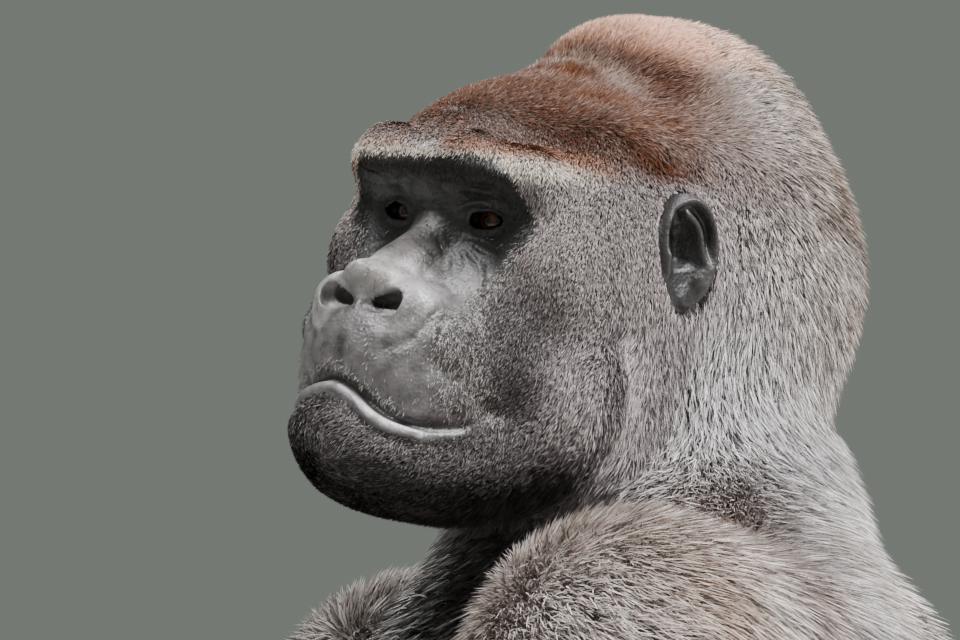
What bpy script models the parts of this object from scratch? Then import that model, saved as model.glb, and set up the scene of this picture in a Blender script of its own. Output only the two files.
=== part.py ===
"""A full-grown silverback western lowland gorilla, life size, as a still museum figure.

He sits upright on the floor and looks to his left, the knuckles of both hands set down
outside his knees and his feet flat in front of him. He faces -Y, his left side is +X and
the floor is Z = 0. Every solid reaches out to the tips of the coat.

The body is built whole: egg and bone shapes overlap where flesh does, one voxel remesh
joins them, smoothing draws them together, and the floor cuts the flats he rests on. Thin
cuts then part the whole into head, neck, trunk and limbs. Eyes and ears are set in after.
"""

from math import radians

import bmesh
import bpy
from mathutils import Matrix, Vector

# Driving dimensions, in centimetres. CM turns them into metres.
CM = 0.01
EYE_HEIGHT = 97.0
EYE_REACH = 12.0
EYE_SHIFT = 8.0
HEAD_YAW, HEAD_PITCH, HEAD_ROLL = 35.0, 5.5, 5.0
EYE_SPACING, EYE_DEPTH, EYE_RADIUS = 6.4, 1.0, 1.2
EAR_PLACE = Vector((10.5, 9.3, -0.2))
EAR_FLARE, EAR_LEAN = 20.0, 8.0

SHOULDER = {1: Vector((27.0, -6.0, 70.0)), -1: Vector((-25.5, -4.5, 65.5))}
ELBOW = {1: Vector((42.0, -24.0, 41.0)), -1: Vector((-42.0, -24.0, 39.0))}
WRIST = {1: Vector((37.5, -46.0, 14.0)), -1: Vector((-37.5, -46.0, 14.0))}
HIP = Vector((11.5, 6.0, 16.0))
KNEE = Vector((22.0, -24.0, 33.0))
ANKLE = Vector((18.0, -42.0, 8.0))

FINGER_SPACING = 2.8
FINGER_RADIUS = 1.65
TOE_LENGTHS = (5.4, 5.6, 5.2, 4.4)

# The cuts: a bowl for neck and head, a level at the waist and a bar along each thigh.
BOWL_LOW, BOWL_HIGH, BOWL_FOOT, BOWL_RIM = 73.0, 118.0, 15.0, 60.0
WAIST = 48.0
THIGH_CORE = 14.0
FLOOR_DEPTH = 20.0
GAP = 0.03
CUT = 0.06

# The mesh: first voxels, how often flesh is rubbed smooth and over what width, faces kept.
VOXEL = 0.5
FLESH_ROUNDS = 90
BLEND = 5.0
FACES = 4700
SHORTEST_EDGE = 0.2

LIP_LINE = ((0, -9.3, -10.4), (1.8, -9.06, -10.85), (3.8, -7.75, -12.0), (5.0, -5.6, -12.6))
LIP_GROOVE = 0.35
SIDES = ((1, "left"), (-1, "right"))

COAT_COLOURS = {"crown": (0.24, 0.10, 0.05), "silver": (0.30, 0.28, 0.26), "dark": (0.03, 0.028, 0.027)}
SKIN_COLOUR = (0.02, 0.019, 0.02)
EYE_COLOUR = (0.045, 0.016, 0.008)

HEAD_PLACE = (
    Matrix.Translation((EYE_SHIFT, -EYE_REACH, EYE_HEIGHT))
    @ Matrix.Rotation(radians(HEAD_YAW), 4, "Z")
    @ Matrix.Rotation(radians(-HEAD_PITCH), 4, "X")
    @ Matrix.Rotation(radians(HEAD_ROLL), 4, "Y")
)
BODY_PLACE = Matrix.Identity(4)


def clear_scene():
    for obj in list(bpy.data.objects):
        bpy.data.objects.remove(obj)


def material(name, colour, roughness):
    made = bpy.data.materials.new(name)
    made.use_nodes = True
    shader = made.node_tree.nodes["Principled BSDF"]
    shader.inputs["Base Color"].default_value = (*colour, 1.0)
    shader.inputs["Roughness"].default_value = roughness
    shader.inputs["Metallic"].default_value = 0.0
    return made


# Shapes: each adds one closed form to the mesh, in centimetres in the frame that place gives.


def ball(mesh, place, centre, radii, tilt=0.0, fineness=4):
    """An egg with its own radius along X, Y and Z, tipped about X."""
    turn = Matrix.Rotation(radians(tilt), 4, "X")
    form = Matrix.Translation(centre) @ turn @ Matrix.Diagonal((*radii, 1.0))
    bmesh.ops.create_icosphere(mesh, subdivisions=fineness, radius=1.0, matrix=place @ form)


def bone(mesh, place, start, end, start_radius, end_radius):
    """A taper with a ball at both ends."""
    start, end = Vector(start), Vector(end)
    along = end - start
    turn = along.to_track_quat("Z", "Y").to_matrix().to_4x4()
    bmesh.ops.create_cone(
        mesh,
        cap_ends=True,
        segments=32,
        radius1=start_radius,
        radius2=end_radius,
        depth=along.length,
        matrix=place @ Matrix.Translation((start + end) / 2) @ turn,
    )
    ball(mesh, place, start, (start_radius,) * 3, fineness=3)
    ball(mesh, place, end, (end_radius,) * 3, fineness=3)


def both(shape, mesh, place, first, *rest):
    """The same shape on the left and, mirrored, on the right."""
    for side in (1, -1):
        mirrored = [Vector((side * p[0], p[1], p[2])) for p in first]
        shape(mesh, place, *mirrored, *rest)


def head_forms(mesh):
    """The head in its own frame: the eyes lie on X, the muzzle points to -Y."""
    place = HEAD_PLACE
    ball(mesh, place, (0, 12.5, 1.0), (9.2, 13.0, 9.3))  # skull
    ball(mesh, place, (0, 19.2, 4.4), (8.1, 12.3, 9.4))  # pad along the crest
    ball(mesh, place, (0, 14.4, 8.8), (6.0, 6.4, 4.9))  # mound of the crest
    ball(mesh, place, (0, 5.0, 2.9), (5.7, 7.3, 5.4), -4)  # forehead
    both(ball, mesh, place, [(5.6, 8.5, -0.5)], (4.4, 8.0, 7.5))  # temples
    both(bone, mesh, place, [(0, -2.2, 3.3), (3.4, -1.8, 3.5)], 1.5, 1.6)  # brow
    both(bone, mesh, place, [(3.4, -1.8, 3.5), (6.0, 0.5, 3.0)], 1.6, 1.35)
    both(bone, mesh, place, [(6.0, 0.5, 3.0), (6.9, 3.0, -1.2)], 1.35, 1.3)  # outer rim of the socket
    both(ball, mesh, place, [(6.8, 2.6, -2.9)], (2.8, 3.2, 2.9))  # cheekbone
    both(ball, mesh, place, [(3.2, 2.2, -3.6)], (3.4, 2.7, 3.2))  # under the eye
    both(bone, mesh, place, [(1.4, 0.8, -1.4), (2.6, -0.4, -5.0)], 1.6, 2.0)  # side of the nose
    bone(mesh, place, (0, -0.6, 2.2), (0, -1.2, -1.0), 1.3, 1.3)  # bridge of the nose
    bone(mesh, place, (0, -1.2, -1.0), (0, -4.2, -3.6), 1.3, 1.8)
    ball(mesh, place, (0, -3.0, -8.8), (5.6, 5.7, 4.7), 20)  # upper lip
    both(ball, mesh, place, [(3.0, -2.6, -10.2)], (3.2, 4.9, 4.1))
    ball(mesh, place, (0, -5.8, -4.4), (2.1, 1.85, 1.35), -20)  # tip of the nose
    both(ball, mesh, place, [(2.3, -5.5, -5.5)], (2.15, 1.9, 2.15))  # wings of the nose
    ball(mesh, place, (0, -3.6, -14.0), (5.2, 5.9, 4.0), -8)  # lower lip and chin
    ball(mesh, place, (0, 2.0, -13.4), (7.0, 8.5, 4.6), 10)  # floor of the jaw
    both(ball, mesh, place, [(6.4, 6.5, -8.0)], (4.2, 6.0, 7.5))  # jowls
    both(ball, mesh, place, [(7.4, 6.5, -3.0)], (3.2, 5.0, 5.5))  # cheek muscle
    both(ball, mesh, place, [(5.5, 19.6, -1.2)], (7.0, 9.7, 9.6))  # nape
    both(ball, mesh, place, [(3.2, 1.0, -0.1)], (2.4, 1.6, 1.9))  # lids


def trunk_forms(mesh):
    place = BODY_PLACE
    ball(mesh, place, (0, 9, 15), (23.5, 17.5, 16.8))  # pelvis
    ball(mesh, place, (0, 7.5, 30), (22.5, 19.5, 20))  # small of the back
    both(ball, mesh, place, [(8, 3, 45)], (18, 18, 17))  # flanks
    ball(mesh, place, (0, 2, 33), (25.5, 23.2, 24.5))  # belly
    ball(mesh, place, (0, 2, 58), (27.5, 20, 24.5))  # chest
    ball(mesh, place, (-1, 6.5, 62), (21, 17.5, 19))  # upper back
    ball(mesh, place, (-3, 3.0, 84), (14.5, 12, 17))  # neck
    bone(mesh, place, (-2, 5, 79), (20, 3, 69), 9.0, 10.0)  # the muscle from neck to shoulder
    bone(mesh, place, (-2, 5, 79), (-18, 3, 65), 9.0, 9.5)


def limb_forms(mesh, side):
    place = BODY_PLACE
    shoulder, elbow, wrist = SHOULDER[side], ELBOW[side], WRIST[side]
    hip, knee, ankle = (Vector((side * p.x, p.y, p.z)) for p in (HIP, KNEE, ANKLE))
    ball(mesh, place, shoulder, (11.2, 10.7, 10.7))
    bone(mesh, place, shoulder + Vector((-2 * side, 2, -1)), (12.0 * side, 9.0, shoulder.z - 6.0), 10.0, 9.5)
    bone(mesh, place, shoulder + Vector((side * 2, -1, -4)), elbow, 9.9, 8.4)
    bone(mesh, place, elbow, wrist, 8.5, 5.0)
    bone(mesh, place, hip, knee, 13.0, 9.2)
    bone(mesh, place, knee, ankle, 8.8, 5.6)


def hand_forms(mesh, side):
    """A hand standing on its knuckles: the palm slopes forward, the fingers fold back along the floor."""
    place = BODY_PLACE
    wrist = WRIST[side]
    outward = Vector((1.0, -0.12 * side, 0)) * side
    for finger in range(4):
        spread = outward * FINGER_SPACING * (finger - 1.5)
        knuckle = wrist + spread + Vector((0, -5.0, -6.2 - 0.25 * abs(finger - 1.3)))
        bend = knuckle + Vector((0, -3.4, 1.05 - knuckle.z))
        joint = bend + Vector((0, 4.2, 0.3))
        tip = joint + Vector((0, 1.6, 2.2))
        bone(mesh, place, wrist + spread * 0.55, knuckle, 2.9, 2.1)
        bone(mesh, place, knuckle, bend, 1.95, FINGER_RADIUS)
        bone(mesh, place, bend, joint, FINGER_RADIUS, 1.5)
        bone(mesh, place, joint, tip, 1.5, 1.35)
    thumb = wrist - outward * 4.2 + Vector((0, -1.0, -2.5))
    bone(mesh, place, wrist - outward * 1.5, thumb, 2.6, 1.9)
    bone(mesh, place, thumb, thumb + Vector((-0.6 * side, -2.8, -4.2)), 1.75, 1.3)


def foot_forms(mesh, side):
    """A foot flat on its sole, the great toe standing off inwards like a thumb."""
    place = BODY_PLACE

    def spot(x, y, z):
        return Vector((side * x, y, z))

    ball(mesh, place, spot(17.4, -37.8, 3.4), (4.1, 5.4, 4.7))  # heel
    bone(mesh, place, spot(18, -42, 6.5), spot(20.5, -53, 3.4), 4.4, 3.4)  # instep
    bone(mesh, place, spot(19.6, -40, 2.3), spot(24.2, -54.5, 1.9), 3.0, 2.5)  # outer edge
    ball(mesh, place, spot(21.3, -54.5, 2.0), (5.4, 4.6, 2.9))  # ball of the foot
    for number, length in enumerate(TOE_LENGTHS):
        root = spot(18.4 + 2.2 * number, -57.6 + 0.55 * number, 1.75)
        tip = root + Vector((side * (0.15 + 0.12 * number), -1.0, -0.12)).normalized() * length
        bone(mesh, place, root, tip, 1.55, 1.4)
    bone(mesh, place, spot(17.0, -47.5, 2.6), spot(13.2, -55.0, 1.6), 2.7, 1.9)  # great toe
    bone(mesh, place, spot(13.2, -55.0, 1.6), spot(12.3, -58.2, 1.45), 1.9, 1.75)


def ear_forms(mesh, side):
    """An ear that lies back along the head, its rim rolled around a hollow."""
    lean = Matrix.Rotation(radians(-EAR_FLARE), 4, "Z") @ Matrix.Rotation(radians(EAR_LEAN), 4, "X")
    mirror = Matrix.Diagonal((side, 1.0, 1.0, 1.0))
    place = HEAD_PLACE @ mirror @ Matrix.Translation(EAR_PLACE) @ lean
    ball(mesh, place, (-0.4, 0.1, 0), (0.9, 2.1, 3.3))
    rim = ((0.6, 0.7, 3.0), (0.8, 1.9, 1.9), (0.8, 2.1, 0.2), (0.6, 1.6, -1.6), (0.4, 0.5, -2.9))
    front = ((0.6, 0.7, 3.0), (0.5, -0.8, 2.6), (0.4, -1.6, 1.2), (0.3, -1.6, -0.8), (0.4, 0.5, -2.9))
    for path in (rim, front):
        for start, end in zip(path, path[1:]):
            bone(mesh, place, start, end, 0.42, 0.42)


# Modelling steps


def solid(name, mesh, paint):
    """Puts a mesh worked out in centimetres into the scene, in metres."""
    bmesh.ops.scale(mesh, vec=(CM,) * 3, verts=mesh.verts)
    bmesh.ops.recalc_face_normals(mesh, faces=mesh.faces)
    data = bpy.data.meshes.new(name)
    mesh.to_mesh(data)
    mesh.free()
    obj = bpy.data.objects.new(name, data)
    bpy.context.scene.collection.objects.link(obj)
    if paint:
        data.materials.append(paint)
    return obj


def settle(obj):
    """Applies the modifiers: the mesh becomes what they show."""
    bpy.context.view_layer.update()
    depsgraph = bpy.context.evaluated_depsgraph_get()
    shown = bpy.data.meshes.new_from_object(obj.evaluated_get(depsgraph))
    old = obj.data
    obj.modifiers.clear()
    obj.data = shown
    bpy.data.meshes.remove(old)


def remeshed(obj, voxel, rounds, faces):
    """Joins the forms into one skin, rubs it smooth and thins it."""
    remesh = obj.modifiers.new("join", "REMESH")
    remesh.mode = "VOXEL"
    remesh.voxel_size = voxel * CM
    smooth = obj.modifiers.new("rub", "SMOOTH")
    smooth.factor = 0.5
    smooth.iterations = rounds
    settle(obj)
    if faces:
        thin(obj, faces)


def thin(obj, faces):
    decimate = obj.modifiers.new("thin", "DECIMATE")
    triangles = sum(len(face.vertices) - 2 for face in obj.data.polygons)
    decimate.ratio = faces / triangles
    settle(obj)


def boolean(obj, cutter, operation="DIFFERENCE"):
    cut = obj.modifiers.new("cut", "BOOLEAN")
    cut.operation = operation
    cut.solver = "EXACT"
    cut.object = cutter
    settle(obj)


def guide(name, mesh):
    """A cutter, which isn't part of the figure."""
    obj = solid(name, mesh, None)
    obj.hide_render = True
    obj.display_type = "WIRE"
    return obj


def disc(name, centre, facing, radius):
    """A flat disc as thin as a saw cut."""
    mesh = bmesh.new()
    turn = Vector(facing).to_track_quat("Z", "Y").to_matrix().to_4x4()
    bmesh.ops.create_cone(
        mesh,
        cap_ends=True,
        segments=24,
        radius1=radius,
        radius2=radius,
        depth=CUT,
        matrix=Matrix.Translation(centre) @ turn,
    )
    return guide(name, mesh)


def loose_parts(obj):
    """Splits an object into its separate closed bodies, largest first."""
    mesh = bmesh.new()
    mesh.from_mesh(obj.data)
    mesh.verts.ensure_lookup_table()
    seen = set()
    bodies = []
    for vert in mesh.verts:
        if vert in seen:
            continue
        body, front = {vert}, [vert]
        while front:
            for edge in front.pop().link_edges:
                for near in edge.verts:
                    if near not in body:
                        body.add(near)
                        front.append(near)
        seen |= body
        bodies.append(body)
    parts = []
    for body in sorted(bodies, key=len, reverse=True):
        piece = mesh.copy()
        piece.verts.ensure_lookup_table()
        kept = {vert.index for vert in body}
        others = [vert for vert in piece.verts if vert.index not in kept]
        bmesh.ops.delete(piece, geom=others, context="VERTS")
        bmesh.ops.dissolve_degenerate(piece, dist=SHORTEST_EDGE * CM, edges=piece.edges)
        parts.append(piece)
    mesh.free()
    return parts


def bulk(piece):
    """The middle of a body's bounding box, in centimetres."""
    low = Vector([min(vert.co[axis] for vert in piece.verts) for axis in range(3)])
    high = Vector([max(vert.co[axis] for vert in piece.verts) for axis in range(3)])
    return (low + high) / (2 * CM)


def part_named(obj, places):
    """Names each loose body after the place nearest its middle and drops crumbs."""
    made = {}
    for piece in loose_parts(obj):
        middle = bulk(piece)
        name = min(places, key=lambda key: (places[key] - middle).length)
        if name in made:
            piece.free()
            continue
        data = bpy.data.meshes.new(name)
        piece.to_mesh(data)
        piece.free()
        made[name] = bpy.data.objects.new(name, data)
        bpy.context.scene.collection.objects.link(made[name])
    bpy.data.objects.remove(obj)
    return made


def weigh_softness(obj):
    """Fills the vertex group "soft": 0 over head, hands and feet, 1 from BLEND outside them."""
    soft = obj.vertex_groups.new(name="soft")
    places = [(HEAD_PLACE @ Vector((0, 10, -2)), 17.0)]
    for side in (1, -1):
        places.append((WRIST[side] + Vector((0, -5, -8)), 9.0))
        places.append((Vector((side * 19.0, -52.0, 2.0)), 10.0))
    for vert in obj.data.vertices:
        spot = vert.co / CM
        clear = min((spot - centre).length - radius for centre, radius in places)
        soft.add([vert.index], min(max(clear / BLEND, 0.0), 1.0), "REPLACE")


def whole_body():
    """One closed body from crest to soles, in flesh and coat."""
    mesh = bmesh.new()
    head_forms(mesh)
    trunk_forms(mesh)
    for side in (1, -1):
        limb_forms(mesh, side)
        hand_forms(mesh, side)
        foot_forms(mesh, side)
    body = solid("body", mesh, None)
    remeshed(body, VOXEL, rounds=5, faces=0)
    weigh_softness(body)
    soften = body.modifiers.new("soften", "SMOOTH")
    soften.vertex_group = "soft"
    soften.factor = 0.5
    soften.iterations = FLESH_ROUNDS
    settle(body)
    thin(body, FACES)
    floor = bmesh.new()
    slab = Matrix.Translation((0, 0, -FLOOR_DEPTH / 2)) @ Matrix.Diagonal((200, 200, FLOOR_DEPTH, 1))
    bmesh.ops.create_cube(floor, size=1.0, matrix=slab)
    boolean(body, guide("floor_cutter", floor))
    return body


def neck_bowl(name, grown):
    """A cone that opens upwards from the base of the neck and takes in neck and head."""
    low, high = BOWL_LOW - grown, BOWL_HIGH
    mesh = bmesh.new()
    bmesh.ops.create_cone(
        mesh,
        cap_ends=True,
        segments=32,
        radius1=BOWL_FOOT + grown,
        radius2=BOWL_RIM + grown,
        depth=high - low,
        matrix=Matrix.Translation((2.0, -3.0, (low + high) / 2)),
    )
    return guide(name, mesh)


def thigh_core(name, side, grown):
    """A round bar along the thigh, from inside the hip to past the knee."""
    hip = Vector((side * HIP.x, HIP.y, HIP.z))
    knee = Vector((side * KNEE.x, KNEE.y, KNEE.z))
    start = hip.lerp(knee, 0.36) - (knee - hip).normalized() * grown
    end = hip.lerp(knee, 1.7)
    turn = (end - start).to_track_quat("Z", "Y").to_matrix().to_4x4()
    mesh = bmesh.new()
    bmesh.ops.create_cone(
        mesh,
        cap_ends=True,
        segments=32,
        radius1=THIGH_CORE + grown,
        radius2=THIGH_CORE + grown,
        depth=(end - start).length,
        matrix=Matrix.Translation((start + end) / 2) @ turn,
    )
    return guide(name, mesh)


def twin(obj, name):
    copy = obj.copy()
    copy.data = obj.data.copy()
    copy.name = name
    bpy.context.scene.collection.objects.link(copy)
    return copy


def parted(body):
    """Cuts the whole body into its named parts."""
    made = {}
    upper = twin(body, "upper")
    boolean(upper, neck_bowl("neck_cutter", 0.0), "INTERSECT")
    boolean(body, neck_bowl("neck_socket_cutter", GAP))
    under_jaw = HEAD_PLACE @ Vector((0, 12.5, -14.0))
    boolean(upper, disc("jaw_cut", under_jaw, HEAD_PLACE.to_3x3() @ Vector((0, -0.30, 0.954)), 24))
    head_middle = HEAD_PLACE @ Vector((0, 9, -1))
    made |= part_named(upper, {"head": head_middle, "neck": Vector((-3, 1, 79))})

    places = {"chest": Vector((0, 2, 62)), "belly": Vector((0, 4, 25))}
    boolean(body, disc("waist_cut", (0, 2, WAIST), (0, 0, 1), 28))
    for side, word in SIDES:
        shoulder, elbow, wrist = SHOULDER[side], ELBOW[side], WRIST[side]
        knee = Vector((side * KNEE.x, KNEE.y, KNEE.z))
        ankle = Vector((side * ANKLE.x, ANKLE.y, ANKLE.z))
        hip = Vector((side * HIP.x, HIP.y, HIP.z))
        forearm = (wrist - elbow).normalized()
        upper_arm = (elbow - shoulder).normalized()
        thigh = (knee - hip).normalized()
        shin = (ankle - knee).normalized()
        armpit = shoulder + Vector((-3.0 * side, 2, -4))
        boolean(body, disc("shoulder_cut_" + word, armpit, (0.93 * side, -0.30, 0.22), 25))
        boolean(body, disc("elbow_cut_" + word, elbow, forearm + upper_arm, 9.8))
        boolean(body, disc("wrist_cut_" + word, wrist, forearm, 8.5))
        hollow = knee + Vector((-1.5 * side, 0.6, -3.0))
        boolean(body, disc("knee_cut_" + word, hollow, thigh + shin, 12.6))
        boolean(body, disc("ankle_cut_" + word, ankle + Vector((0, 0, 1)), (0, -0.25, -1), 9.0))
        places["upper_arm_" + word] = (shoulder + elbow) / 2
        places["forearm_" + word] = (elbow + wrist) / 2
        places["hand_" + word] = wrist + Vector((0, -4, -7))
        places["shin_" + word] = (knee + ankle) / 2
        places["foot_" + word] = Vector((side * 19, -50, 3.5))
    made |= part_named(body, places)
    for side, word in SIDES:
        thigh = twin(made["belly"], "thigh")
        boolean(thigh, thigh_core("thigh_cutter_" + word, side, 0.0), "INTERSECT")
        boolean(made["belly"], thigh_core("hip_cutter_" + word, side, GAP))
        name = "thigh_" + word
        made |= part_named(thigh, {name: Vector((side * 18, -10, 24))})
    trunk = made.pop("belly")
    trunk.name = "trunk"
    made |= part_named(trunk, {"belly": Vector((0, 4, 25))})
    return made


def open_face(head):
    """Eye sockets with almond openings, nostrils and the line of the lips."""
    for side, word in SIDES:
        eye = Vector((side * EYE_SPACING / 2, EYE_DEPTH, 0))
        socket = bmesh.new()
        form = HEAD_PLACE @ Matrix.Translation(eye)
        hollow = EYE_RADIUS + 1.7 * GAP
        bmesh.ops.create_uvsphere(socket, u_segments=14, v_segments=10, radius=hollow, matrix=form)
        boolean(head, guide("socket_cutter_" + word, socket))
        lids = bmesh.new()
        ball(lids, HEAD_PLACE, eye + Vector((0, -2.4, -0.05)), (1.4, 2.4, 0.6), fineness=2)
        boolean(head, guide("lid_cutter_" + word, lids))
        nostril = bmesh.new()
        ball(nostril, HEAD_PLACE, (1.7 * side, -7.1, -5.4), (1.15, 1.3, 0.65), fineness=2)
        boolean(head, guide("nostril_cutter_" + word, nostril))
    lips = bmesh.new()
    for start, end in zip(LIP_LINE, LIP_LINE[1:]):
        both(bone, lips, HEAD_PLACE, [start, end], LIP_GROOVE, LIP_GROOVE)
    groove = guide("lip_cutter", lips)
    remeshed(groove, 0.12, rounds=2, faces=320)
    boolean(head, groove)


def eye(word, side, paint):
    mesh = bmesh.new()
    place = HEAD_PLACE @ Matrix.Translation((side * EYE_SPACING / 2, EYE_DEPTH, 0))
    bmesh.ops.create_uvsphere(mesh, u_segments=14, v_segments=10, radius=EYE_RADIUS, matrix=place)
    return solid("eye_" + word, mesh, paint)


def ear(word, side, head, paint):
    """The ear, cut off where it meets the side of the head."""
    mesh = bmesh.new()
    ear_forms(mesh, side)
    made = solid("ear_raw_" + word, mesh, None)
    remeshed(made, 0.2, rounds=3, faces=320)
    cover = twin(head, "ear_cutter_" + word)
    cover.hide_render = True
    cover.display_type = "WIRE"
    swell = cover.modifiers.new("swell", "DISPLACE")
    swell.strength = 1.3 * GAP * CM
    swell.mid_level = 0.0
    settle(cover)
    boolean(made, cover)
    name = "ear_" + word
    found = part_named(made, {name: HEAD_PLACE @ Vector((side * EAR_PLACE.x, EAR_PLACE.y, EAR_PLACE.z))})
    found[name].data.materials.append(paint)
    return found[name]


def paint_of(name, paints):
    """The coat or skin that covers a node."""
    if name.startswith("head"):
        return paints["crown"]
    if name.startswith(("hand", "foot")):
        return paints["skin"]
    if name.startswith(("upper_arm", "forearm", "shin")):
        return paints["dark"]
    return paints["silver"]


def centre_on_origin(objects):
    """Moves the figure so that the middle of its footprint is the origin, and parents it to one empty."""
    corners = [Vector(corner) for obj in objects for corner in obj.bound_box]
    middle = [(min(c[axis] for c in corners) + max(c[axis] for c in corners)) / 2 for axis in (0, 1)]
    shift = Matrix.Translation((-middle[0], -middle[1], 0.0))
    figure = bpy.data.objects.new("gorilla", None)
    bpy.context.scene.collection.objects.link(figure)
    for obj in objects:
        obj.data.transform(shift)
        obj.parent = figure


def main():
    clear_scene()
    paints = {word: material(word + "_coat", colour, 0.8) for word, colour in COAT_COLOURS.items()}
    paints["skin"] = material("bare_skin", SKIN_COLOUR, 0.5)
    cornea = material("eye", EYE_COLOUR, 0.08)
    made = parted(whole_body())
    for name, obj in made.items():
        obj.data.materials.clear()
        obj.data.materials.append(paint_of(name, paints))
    for side, word in SIDES:
        made["ear_" + word] = ear(word, side, made["head"], paints["skin"])
        made["eye_" + word] = eye(word, side, cornea)
    open_face(made["head"])
    for obj in made.values():
        obj.data.shade_smooth()
        obj.data.set_sharp_from_angle(angle=radians(40.0))
    centre_on_origin(list(made.values()))


main()
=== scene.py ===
# %% [markdown]
# # A silverback, life size
#
# A full-grown western lowland gorilla sits and looks to his left. He is a museum figure:
# a cast of the whole animal in dark rubber, with hair set into it lock by lock. So the
# script goes the way the workshop goes. First the flesh under the hair as one skin, then
# the eyes and nails, then the coat in the order it is laid, and last the light he stands in.
#
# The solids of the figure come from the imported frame. They reach out to the tips of the
# hair, so the skin lies inside them by the depth of the coat, and the hair fills the rest.

import math

import bpy
import numpy as np
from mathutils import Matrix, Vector


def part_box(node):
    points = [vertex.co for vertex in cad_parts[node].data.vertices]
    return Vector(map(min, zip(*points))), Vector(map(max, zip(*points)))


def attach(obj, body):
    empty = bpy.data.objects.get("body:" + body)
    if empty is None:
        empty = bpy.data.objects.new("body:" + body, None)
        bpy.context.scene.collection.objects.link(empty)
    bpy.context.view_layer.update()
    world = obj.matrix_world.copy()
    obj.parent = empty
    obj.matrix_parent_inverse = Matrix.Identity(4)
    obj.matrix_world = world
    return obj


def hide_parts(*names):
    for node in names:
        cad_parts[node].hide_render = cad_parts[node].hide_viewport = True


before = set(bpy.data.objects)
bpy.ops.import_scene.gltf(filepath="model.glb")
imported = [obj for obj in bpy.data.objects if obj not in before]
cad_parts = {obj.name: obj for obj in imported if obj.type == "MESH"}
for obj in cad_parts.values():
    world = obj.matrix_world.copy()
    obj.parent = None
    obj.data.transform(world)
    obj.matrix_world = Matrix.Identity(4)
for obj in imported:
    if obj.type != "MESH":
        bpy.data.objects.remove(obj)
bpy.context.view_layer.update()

# %% [markdown]
# ## Where he sits in the frame
#
# The eyes are the surest place on an animal, so everything hangs on a point between and
# just in front of them. The figure's own axes are in centimetres: x to his left, y to his
# back, z up from the floor. The head has axes of its own, turned to his left, lifted a
# little and tipped. Sculptors measure a head the same way, from the line of the eyes.

# %% Axes of the figure and of the head
CM = 0.01
SIDES = ((1, "left"), (-1, "right"))
HEAD_YAW, HEAD_PITCH, HEAD_ROLL = 35.0, 5.5, 5.0
EYE_X, EYE_Y, EYE_RADIUS = 3.2, 1.0, 1.2


def turn(axis, degrees):
    """The turn about one axis: a point p becomes turn @ p."""
    c, s = math.cos(math.radians(degrees)), math.sin(math.radians(degrees))
    rows = {
        "x": ((1, 0, 0), (0, c, -s), (0, s, c)),
        "y": ((c, 0, s), (0, 1, 0), (-s, 0, c)),
        "z": ((c, -s, 0), (s, c, 0), (0, 0, 1)),
    }
    return np.array(rows[axis], float)


def lengths(rows):
    """The length of each row."""
    return np.sqrt((rows**2).sum(1))


def one_long(v):
    """A direction, made one long."""
    return v / np.linalg.norm(v)


def unit(rows):
    """Each row made one long."""
    return rows / np.maximum(np.linalg.norm(rows, axis=1), 1e-9)[:, None]


def middle_of(node):
    """The middle of a solid's box, in centimetres of the frame."""
    low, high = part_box(node)
    return (np.array(low) + np.array(high)) / 2 / CM


HEAD_TURN = turn("z", HEAD_YAW) @ turn("x", -HEAD_PITCH) @ turn("y", HEAD_ROLL)
EYES = np.array((8.0, -12.0, 97.0))
ORIGIN = (middle_of("eye_left") + middle_of("eye_right")) / 2 - EYES - HEAD_TURN[:, 1] * EYE_Y
across = middle_of("eye_left") - middle_of("eye_right")
print("origin:", np.round(ORIGIN, 2), "eye line:", np.round(across - 2 * EYE_X * HEAD_TURN[:, 0], 2))


def to_head(points):
    """From the figure's axes into the head's: q = R^T (p - eyes)."""
    return (points - EYES) @ HEAD_TURN


def from_head(points):
    """From the head's axes into the figure's: p = R q + eyes."""
    return np.asarray(points, float) @ HEAD_TURN.T + EYES


def smooth(value, low, high):
    """0 below low, 1 above high, and 3t^2 - 2t^3 between."""
    t = np.clip((value - low) / (high - low), 0.0, 1.0)
    return t * t * (3 - 2 * t)


def mirrored(points):
    """Both halves of the head are one, |x|, y, z, but the mouth hangs 9 mm lower on his left."""
    x, y, z = points.T
    near_mouth = smooth(-z, 7.8, 9.6) * (1 - smooth(-z, 14, 17)) * (1 - smooth(y, -2, 3))
    hang = 0.45 * np.sin(np.clip(x / 5.7, -1, 1) * math.pi)
    return np.column_stack([np.abs(x), y, z + hang * near_mouth])


# %% [markdown]
# ## Forms
#
# A sculptor builds an animal up from eggs and bones of clay and then draws them together.
# A form here is the same: an egg, or a bone that tapers between two balls, each with the
# width of the fillet that joins it to what is already there. The large forms are those of
# the solids, and the small ones of the face are finer than theirs.

# %% Forms of the head
SKULL = [
    ("ball", (0, 12.5, 1.0), (9.2, 13.0, 9.3), 0, 0),
    ("ball", (0, 19.4, 4.5), (8.2, 12.5, 9.5), 0, 1.6),  # pad along the crest
    ("ball", (0, 15.2, 8.7), (5.6, 5.8, 4.9), 0, 0.8),  # mound of the crest
    ("ball", (0, 5.0, 2.9), (5.7, 7.3, 5.4), -4, 2.0),  # forehead
    ("ball", (5.6, 8.5, -0.5), (4.4, 8.0, 7.5), 0, 3.0),  # temple
    ("ball", (5.5, 19.8, -1.0), (7.2, 10.0, 9.8), 0, 4.0),  # nape
    ("ball", (6.4, 6.5, -8.0), (4.2, 6.0, 7.5), 0, 3.0),  # jowl
    ("ball", (7.4, 6.5, -3.0), (3.2, 5.0, 5.5), 0, 2.5),  # cheek muscle
    ("ball", (0, 2.0, -13.4), (7.0, 8.5, 4.6), 10, 2.5),  # floor of the jaw
]
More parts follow.
